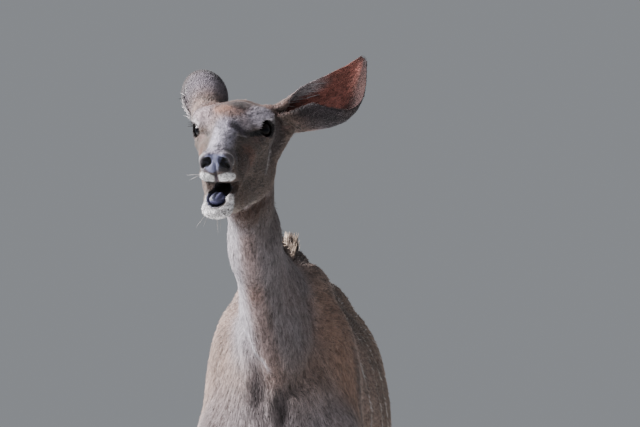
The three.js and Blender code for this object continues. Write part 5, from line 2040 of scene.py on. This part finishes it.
@dataclass
class Pelt:
    """All the hair that grows out of the skin."""

    skin: bpy.types.Object
    coat: Coat
    flesh: dict[Part, Flesh]
    short_finish: bpy.types.Material
    long_finish: bpy.types.Material
    tree: GrowthTree = field(default_factory=lambda: GrowthTree("tufts_on_skin"))
    short_tuft: Tuft = field(default_factory=lambda: Tuft("short_tuft"))
    lock: Tuft = field(default_factory=lambda: Tuft("lock", steps=4, bend=-0.22, taper=1.6))
    hanging_lock: Tuft = field(default_factory=lambda: Tuft("hanging_lock", steps=4, bend=-0.1, taper=2.2))
    whisker: Tuft = field(default_factory=lambda: Tuft("whisker", steps=4, bend=-0.18, taper=2.0))
    patch: float = 0.003
    own_lean: float = 0.75

    def grow(
        self, name: str, tuft: Tuft, cover: Array, lie: Array, size: Array, finish: bpy.types.Material, seed: int,
        share: float = 1.0, tousle: float = 0.12, unevenness: float = 0.25,
        tip_tone: Array | None = None, root_tone: Array | None = None,
    ) -> bpy.types.Object | None:
        """Grows one piece of hair.

        Args:
            name: the piece's name.
            tuft: the shape that is rooted at each spot.
            cover: how many grow on a square centimetre, at each point of the skin.
            lie: which way they point.
            size: their width, length and thickness in millimetres.
            finish: their material.
            seed: the seed for their spots and their differences.
            share: the share of the cover that this piece holds.
            tousle: how far they stray from the lie.
            unevenness: how much their sizes differ.
            tip_tone: the colour of their tips.
            root_tone: the colour of their roots, where it isn't the skin's.

        Returns:
            The piece.
        """
        host = self.skin.copy()
        host.data = self.skin.data.copy()
        bpy.context.scene.collection.objects.link(host)
        mesh = host.data
        set_attribute(mesh, "cover", "FLOAT", cover * 1e4)
        set_attribute(mesh, "lie", "FLOAT_VECTOR", lie)
        set_attribute(mesh, "size", "FLOAT_VECTOR", size / 1000)
        if tip_tone is not None:
            set_attribute(mesh, "tip_tone", "FLOAT_COLOR", tip_tone)
        if root_tone is not None:
            mesh.attributes.remove(mesh.attributes["tone"])
            set_attribute(mesh, "tone", "FLOAT_COLOR", root_tone)
        shape = tuft.build()
        if self.tree.name not in bpy.data.node_groups:
            self.tree.build()
        growing = host.modifiers.new("growing", "NODES")
        growing.node_group = bpy.data.node_groups[self.tree.name]
        values = {"Tuft": shape, "Share": share, "Unevenness": unevenness, "Tousle": tousle, "Seed": seed,
                  "Finish": finish}
        for label, value in values.items():
            growing[self.tree.inputs[label]] = value
        host.data.update()
        finished(host)
        mesh = host.data
        host.name = name
        mesh.name = name
        mesh.materials.clear()
        mesh.materials.append(finish)
        self.map_roots(mesh)
        self.shade_as_skin(mesh)
        for spare in ("cover", "lie", "size", "outward", "patch"):
            if spare in mesh.attributes:
                mesh.attributes.remove(mesh.attributes[spare])
        bpy.data.objects.remove(shape)
        mesh.calc_loop_triangles()
        LOG.info("%s: %d triangles", name, len(mesh.loop_triangles))
        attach(host, "root")
        return host

    def map_roots(self, mesh: bpy.types.Mesh) -> None:
        """Gives each tuft a small patch at its root's place on the map of the skin.

        Args:
            mesh: the tufts.
        """
        roots = (gathered(mesh.attributes["place"].data, "vector") - ROW_SHIFT) * 1000
        own = gathered(mesh.attributes["patch"].data, "vector")[:, :2]
        own[:, 0] += 0.5
        places = unwrapped(roots, self.flesh) + own * self.patch
        corners = np.empty(len(mesh.loops), np.int32)
        mesh.loops.foreach_get("vertex_index", corners)
        layer = mesh.uv_layers.new(name="OFBake")
        layer.data.foreach_set("uv", places[corners].astype(np.float32).ravel())

    def shade_as_skin(self, mesh: bpy.types.Mesh) -> None:
        """Gives tufts the skin's own normals, each leaning a little its own way.

        Args:
            mesh: the tufts.
        """
        outward = gathered(mesh.attributes["outward"].data, "vector")
        normals = unit(outward + self.own_lean * gathered(mesh.vertex_normals, "vector"))
        mesh.polygons.foreach_set("use_smooth", np.ones(len(mesh.polygons), bool))
        mesh.normals_split_custom_set_from_vertices(normals.astype(np.float32))

    def short_coat(self) -> None:
        """Grows the short coat of body and face."""
        coat = self.coat
        fine = np.maximum(coat.face(), coat.ears()) > 0.5
        lift = coat.lie + coat.normals * 0.13
        cover = np.where(fine, 0, coat.cover)
        for i in range(BODY_COATS):
            self.grow(f"{Growth.BODY_COAT.value}_{i + 1}", self.short_tuft, cover, lift, coat.size, self.short_finish,
                      BODY_SEED + i, share=1 / BODY_COATS)
        cover = np.where(fine, coat.cover, 0)
        self.grow(Growth.FACE_COAT.value, self.short_tuft, cover, lift, coat.size, self.short_finish, 17)

    def all_over(self, *colour: float) -> Array:
        """Returns a colour, given in display values, for each point of the skin."""
        return np.tile(linear(*colour), (len(self.coat.points), 1))

    def middle_line(self) -> Array:
        """Returns how far points of the skin are from the line of crown, nape and back."""
        y = self.coat.points[:, 1]
        swing = np.interp(y, (-450, -412, -350, -262, -150, -20), (1, 1, 0.93, 0.68, 0.26, 0))
        return np.abs(self.coat.points[:, 0] + HEAD_ASIDE * swing)

    def mane(self) -> None:
        """Grows the mane from crown to withers, the withers crest and the ridge of hair down the back."""
        coat = self.coat
        x, y, z = coat.points.T
        off = self.middle_line()
        upward = coat.normals[:, 1] + coat.normals[:, 2]
        nape = smooth(15, 5, off) * smooth(0.25, 0.7, upward) * smooth(1175, 1225, z) * smooth(-10, -50, y)
        nape = nape * smooth(-396, -366, y)
        stand = coat.normals * 0.8 + coat.lie * 1.0
        tall = 15 + 6 * smooth(1440, 1300, z)
        size = sized(3.2, tall, 1.2)
        dark = self.all_over(70, 58, 56)
        self.grow(Growth.MANE.value, self.lock, nape * 16, stand, size, self.long_finish, 31, tousle=0.28,
                  tip_tone=self.all_over(128, 110, 102), root_tone=dark)
        crest = smooth(13, 5, np.abs(x - 3)) * smooth(0.5, 0.9, coat.normals[:, 2] + 0.5 * coat.normals[:, 1])
        crest = crest * smooth(-70, -30, y) * smooth(250, 190, y) * smooth(1180, 1215, z)
        stand = np.array([0, 0.28, 1.0]) + coat.normals * np.array([0.25, 0.1, 0.2])
        tall = 15 + 13 * smooth(-20, 60, y) * smooth(230, 130, y)
        size = sized(3.8, tall, 1.6)
        core = (smooth(6, 3, np.abs(x - 5)) * smooth(20, 50, y))[:, None]
        cream = linear(218, 194, 174)
        self.grow(Growth.CREST.value, self.lock, crest * 13, stand, size, self.long_finish, 37, tousle=0.16,
                  tip_tone=cream + (dark - cream) * core * 0.8, root_tone=dark)
        spine = smooth(16, 6, np.abs(x)) * smooth(0.8, 0.95, coat.normals[:, 2]) * smooth(200, 240, y)
        spine = spine * smooth(960, 900, y)
        stand = coat.lie + coat.normals * 0.45
        tall = 24 - 8 * smooth(300, 800, y)
        size = sized(3.0, tall, 1.1)
        self.grow(Growth.SPINE_HAIR.value, self.lock, spine * 8, stand, size, self.long_finish, 41, tousle=0.2,
                  tip_tone=self.all_over(188, 174, 164), root_tone=dark)

    def tail(self) -> None:
        """Grows the tail's hair: brown above, white below and dark at its tip."""
        coat = self.coat
        x, y, z = coat.points.T
        own = coat.weight[Part.TAIL] * smooth(985, 1015, y) * smooth(0.4, 0.6, coat.weight[Part.TAIL])
        low = smooth(1080, 870, z)
        size = sized(4.4 + 1.2 * low, 52 + 84 * low, 1.6 + 0.6 * low)
        lie = np.stack([0.24 * coat.normals[:, 0], 0.16 * coat.normals[:, 1] + 0.2 * (1 - low), -1 + 0 * z], 1)
        white = np.clip(smooth(0.1, -0.4, coat.normals[:, 1]) + smooth(0.6, 0.9, np.abs(coat.normals[:, 0])), 0, 1)
        tone = linear(112, 90, 78) + (linear(226, 220, 214) - linear(112, 90, 78)) * white[:, None]
        tip = tone + (linear(46, 38, 36) - tone) * smooth(960, 880, z)[:, None]
        root = tone + (linear(60, 50, 46) - tone) * smooth(900, 860, z)[:, None]
        piece = self.grow(Growth.TAIL_HAIR.value, self.hanging_lock, own * 6.5, lie, size, self.long_finish, 43,
                          tousle=0.07, tip_tone=tip, root_tone=root)

    def ear_fringes(self) -> None:
        """Grows the long pale hair that lies across each ear's cup from its margins."""
        coat = self.coat
        count = len(coat.points)
        cover, hems, lie = np.zeros(count), np.zeros(count), np.tile([0.0, 1.0, 0.0], (count, 1))
        tone = np.tile(linear(*coat.tones.ear_pale), (count, 1))
        for ear in EARS:
            u, angle, _, inner = ear.locate(coat.points)
            share = angle / ear.bend(u)
            edge = smooth(0.5, 0.75, np.abs(share)) * smooth(1.0, 0.95, np.abs(share))
            low = share < 0
            mine = coat.weight[ear.part] * inner * edge * smooth(0.1, 0.16, u) * smooth(0.6, 0.3, u) * 0.7
            hem = coat.weight[ear.part] * (ear.part is Part.EAR_RIGHT) * smooth(0.9, 0.96, -share)
            hem = hem * smooth(0.08, 0.14, u) * smooth(0.5, 0.3, u)
            cover = np.where(mine > 0.02, mine * np.where(low, 0.5, 1.0), cover)
            inward = ear.length * 0.9 - ear.across * np.sign(share)[:, None] * 0.55 + ear.open * 0.25
            lie = np.where((mine > 0.02)[:, None], inward, lie)
            cover = np.where(hem > 0.02, hem * 3, cover)
            hems = np.maximum(hems, hem > 0.02)
            outward = -ear.length * 0.6 - ear.across * 0.7 - ear.open * 0.2
            lie = np.where((hem > 0.02)[:, None], outward, lie)
            dark = (mine > 0.02) & low & (hem <= 0.02)
            tone[dark] = linear(96, 84, 86)
        size = sized(1.7, 24 - 14 * hems, 0.7)
        self.grow(Growth.EAR_FRINGE.value, self.lock, cover * 5, lie, size, self.long_finish, 47, tousle=0.2,
                  tip_tone=tone, root_tone=tone * 0.8)

    def face_hairs(self) -> None:
        """Grows chin and lip whiskers and the lashes."""
        coat = self.coat
        count = len(coat.points)
        both = mirrored(coat.head)
        dry = 1 - np.clip(coat.moist * 2, 0, 1)
        chin = coat.weight[Part.HEAD] * smooth(-150, -165, coat.jaw[:, 1]) * smooth(-74, -84, coat.jaw[:, 2])
        lips = coat.weight[Part.HEAD] * smooth(-165, -180, both[:, 1]) * smooth(-58, -64, both[:, 2])
        lips = lips * smooth(-71, -68, both[:, 2]) * smooth(20, 24, both[:, 0])
        chin = chin * smooth(-0.1, -0.4, coat.normals[:, 2])
        cover = (chin * 0.4 + lips * 0.5) * dry
        lie = coat.normals + HEAD[:3, 1] * 0.35 - np.array([0, 0, 0.25])
        size = np.tile([0.55, 25.0, 0.5], (count, 1))
        pale, dark = linear(214, 208, 206), linear(60, 52, 52)
        self.grow(Growth.WHISKERS.value, self.whisker, cover, lie, size, self.long_finish, 53, tousle=0.25,
                  tip_tone=np.tile(pale, (count, 1)), root_tone=self.all_over(150, 142, 140))
        from_eye = both - np.array([EYE_ASIDE, 0, 0])
        ball = np.linalg.norm(from_eye, axis=1)
        rim = smooth(2.2, 3.0, ball - EYE_RADIUS) * smooth(5.4, 4.4, ball - EYE_RADIUS)
        upper = smooth(3, 7, from_eye[:, 2])
        gaze = math.radians(EYE_OUTWARD)
        looking = unit(from_eye) @ np.array([math.sin(gaze), -math.cos(gaze), 0])
        rim = rim * upper * smooth(0.55, 0.7, looking) * coat.weight[Part.HEAD]
        away = unit(from_eye)
        away[:, 0] *= np.sign(coat.head[:, 0])
        lie = away @ HEAD[:3, :3].T + np.array([0, 0, -0.25])
        size = np.tile([0.7, 10.0, 0.6], (count, 1))
        self.grow(Growth.LASHES.value, self.whisker, rim * 22, lie, size, self.long_finish, 59, tousle=0.12,
                  tip_tone=np.tile(dark * 0.5, (count, 1)), root_tone=np.tile(dark * 0.5, (count, 1)))


@dataclass
class Eye:
    """One eyeball: a smooth ball with the cornea's low bulge, looking outwards and ahead."""

    side: int
    bulge: float = 1.6
    cornea: float = 14.0
    around: int = 48
    rings: int = 40

    def build(self, finish: bpy.types.Material) -> bpy.types.Object:
        """Returns the eye.

        Args:
            finish: its material.

        Returns:
            The eye.
        """
        name = "left" if self.side > 0 else "right"
        place = HEAD @ moved(self.side * EYE_ASIDE, 0, 0) @ turn_about("Z", self.side * EYE_OUTWARD)
        a, b = ball_angles(self.around, self.rings)
        radius = EYE_RADIUS - 0.6
        away = radius * np.sin(a)
        lift = self.bulge * np.clip(1 - (away / self.cornea) ** 2, 0, 1) ** 1.5 * (a < math.pi / 2)
        local = np.stack([away * np.cos(b), -(radius * np.cos(a) + lift), away * np.sin(b)], -1).reshape(-1, 3)
        front, back = [0, -(radius + self.bulge), 0], [0, radius, 0]
        local = np.concatenate([[front], local, [back]])
        faces = ball_faces(self.around, self.rings - 1)
        mesh = new_mesh(f"eye_{name}_ball", to_row(in_frame(place, local)), faces)
        set_attribute(mesh, "gaze", "FLOAT_VECTOR", local / 1000)
        return dressed(mesh, finish, [f"eye_{name}"])


def dressed(
    mesh: bpy.types.Mesh, finish: bpy.types.Material, nodes: Sequence[str],
) -> bpy.types.Object:
    """Returns an object of a mesh that rides with the body and stands for some solids.

    Args:
        mesh: its mesh.
        finish: its material.
        nodes: the solids that it stands for.

    Returns:
        The object.
    """
    mesh.polygons.foreach_set("use_smooth", np.ones(len(mesh.polygons), bool))
    mesh.materials.append(finish)
    made = new_object(mesh.name, mesh)
    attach(made, "root")
    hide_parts(*nodes)
    LOG.info("%s: %d faces", made.name, len(mesh.polygons))
    return made


@dataclass
class Hoof:
    """One half of a cloven hoof, flat below, under the slope of the coronet."""

    name: str
    x: float
    y: float
    side: int
    length: float = 86.0
    outer_width: float = 15.5
    inner_width: float = 11.2
    slope: float = 0.72
    top: float = 46.0
    coronet_fall: float = 0.28
    around: int = 30
    heights: tuple[float, ...] = (0.0, 0.022, 0.07, 0.2, 0.4, 0.6, 0.8, 0.93, 1.0)

    def ring(self, share: float) -> Array:
        """Returns the outline at a share of the way up to the coronet.

        Args:
            share: the share.

        Returns:
            A ring of points in the cow's own frame.
        """
        angle = np.arange(self.around) * math.tau / self.around
        along = (1 - np.cos(angle)) / 2
        across = np.sign(np.sin(angle)) * np.abs(np.sin(angle)) ** 0.75
        z = share * self.top * np.ones(self.around)
        for _ in range(3):
            y = self.y - 90 + self.slope * z + along * self.length * (1 - 0.0078 * z)
            z = share * (self.top - self.coronet_fall * (y - self.y + 30))
        sole = 3.0 * max(0.0, 1 - share / 0.05)
        y = y + sole * (0.5 - along)
        wide = np.where(across > 0, self.outer_width, self.inner_width) * (1 - 0.0022 * z - 0.02 * sole)
        bulge = 1 + 0.05 * math.exp(-(((share - 0.97) / 0.06) ** 2))
        x = self.side * (13 + wide * across * (0.86 + 0.2 * along) * bulge - (1 - along) * 1.5)
        return np.stack([self.x + x, y, z], 1)

    def build(self, finish: bpy.types.Material) -> bpy.types.Object:
        """Returns the hoof.

        Args:
            finish: its material.

        Returns:
            The hoof.
        """
        rings = [self.ring(share) for share in self.heights]
        low, high = rings[0].mean(0), rings[-1].mean(0) + [0, 0, 5]
        points = np.concatenate([[low], *rings, [high]])
        faces = ring_faces(self.around, len(rings))
        if self.side < 0:
            faces = [face[::-1] for face in faces]
        mesh = new_mesh(f"{self.name}_horn", to_row(points), faces)
        return dressed(mesh, finish, [self.name])


@dataclass
class Tongue:
    """The tongue, which lies in the jaw with a groove down its middle."""

    half_sizes: Triple = (13.2, 36.0, 8.6)
    swell: float = 0.45
    groove: float = 3.0
    around: int = 40
    rings: int = 48

    def build(self, finish: bpy.types.Material) -> bpy.types.Object:
        """Returns the tongue.

        Args:
            finish: its material.

        Returns:
            The tongue.
        """
        place = JAW @ moved(-2, -146, -76) @ turn_about("X", -9)
        a, b = ball_angles(self.around, self.rings)
        local = np.stack([np.sin(a) * np.cos(b), -np.cos(a), np.sin(a) * np.sin(b)], -1).reshape(-1, 3)
        local = np.concatenate([[[0, -1, 0]], local, [[0, 1, 0]]]) * np.array(self.half_sizes)
        local[:, 2] *= 1 + self.swell * smooth(-self.half_sizes[1], self.half_sizes[1] * 0.6, local[:, 1])
        dent = np.exp(-((local[:, 0] / 1.9) ** 2)) * (local[:, 2] > 0)
        local[:, 2] -= self.groove * dent * (1 - (local[:, 1] / self.half_sizes[1]) ** 2)
        faces = ball_faces(self.around, self.rings - 1)
        mesh = new_mesh("tongue_blade", to_row(in_frame(place, local)), faces)
        # the groove attribute is painted shade in the middle dent, plus a dark band beside it
        middle = np.exp(-(((local[:, 0] + 4.5) / 3.4) ** 2)) * (local[:, 2] > 0)
        set_attribute(mesh, "groove", "FLOAT", np.maximum(dent * 0.8, middle * 0.85))
        return dressed(mesh, finish, ["tongue"])


def dress_skin(skin: bpy.types.Object, coat: Coat) -> None:
    """Writes the coat's attributes on the skin.

    Args:
        skin: the skin.
        coat: its coat.
    """
    mesh = skin.data
    x, y, z = coat.points.T
    flank = smooth(0.3, 0.6, np.abs(coat.normals[:, 0])) * smooth(770, 840, z) * smooth(1230, 1180, z)
    flank = flank * smooth(10, 60, y) * smooth(900, 820, y) * coat.weight[Part.TRUNK]
    set_attribute(mesh, "tone", "FLOAT_COLOR", coat.tone)
    set_attribute(mesh, "place", "FLOAT_VECTOR", to_row(coat.points))
    set_attribute(mesh, "tip", "FLOAT", np.full(len(x), 0.3))
    set_attribute(mesh, "moist", "FLOAT", coat.moist)
    set_attribute(mesh, "down", "FLOAT", coat.down)
    set_attribute(mesh, "striped", "FLOAT", flank)


def main() -> None:
    """Builds the cow and the studio."""
    Studio().build()
    coat_finish = CoatFinish().build()
    model = Skin()
    skin = model.grow(coat_finish)
    coat = Coat(model.points, model.normals, model.flesh)
    dress_skin(skin, coat)
    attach(skin, "root")
    apart = ("eye", "tongue")
    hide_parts(*[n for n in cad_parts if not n.startswith(apart) and "hoof" not in n])
    pelt = Pelt(skin, coat, model.flesh, coat_finish, LongHairFinish().build())
    pelt.short_coat()
    pelt.mane()
    pelt.tail()
    pelt.ear_fringes()
    pelt.face_hairs()
    eye_finish = EyeFinish().build()
    for side in SIDES.values():
        Eye(side).build(eye_finish)
    Tongue().build(TongueFinish().build())
    horn = HoofFinish().build()
    feet = [("fore_hoof", 90, FORE_STEPS, 0), ("hind_hoof", 94, HIND_STEPS, 888)]
    for foot, track, steps, middle in feet:
        for name, s in SIDES.items():
            for half in (-1, 1):
                place = "outer" if s * half > 0 else "inner"
                Hoof(f"{foot}_{name}_{place}", s * track, middle + steps[name], half).build(horn)


if __name__ == "__main__":
    logging.basicConfig(level=logging.INFO, format="%(name)s: %(message)s")
    main()
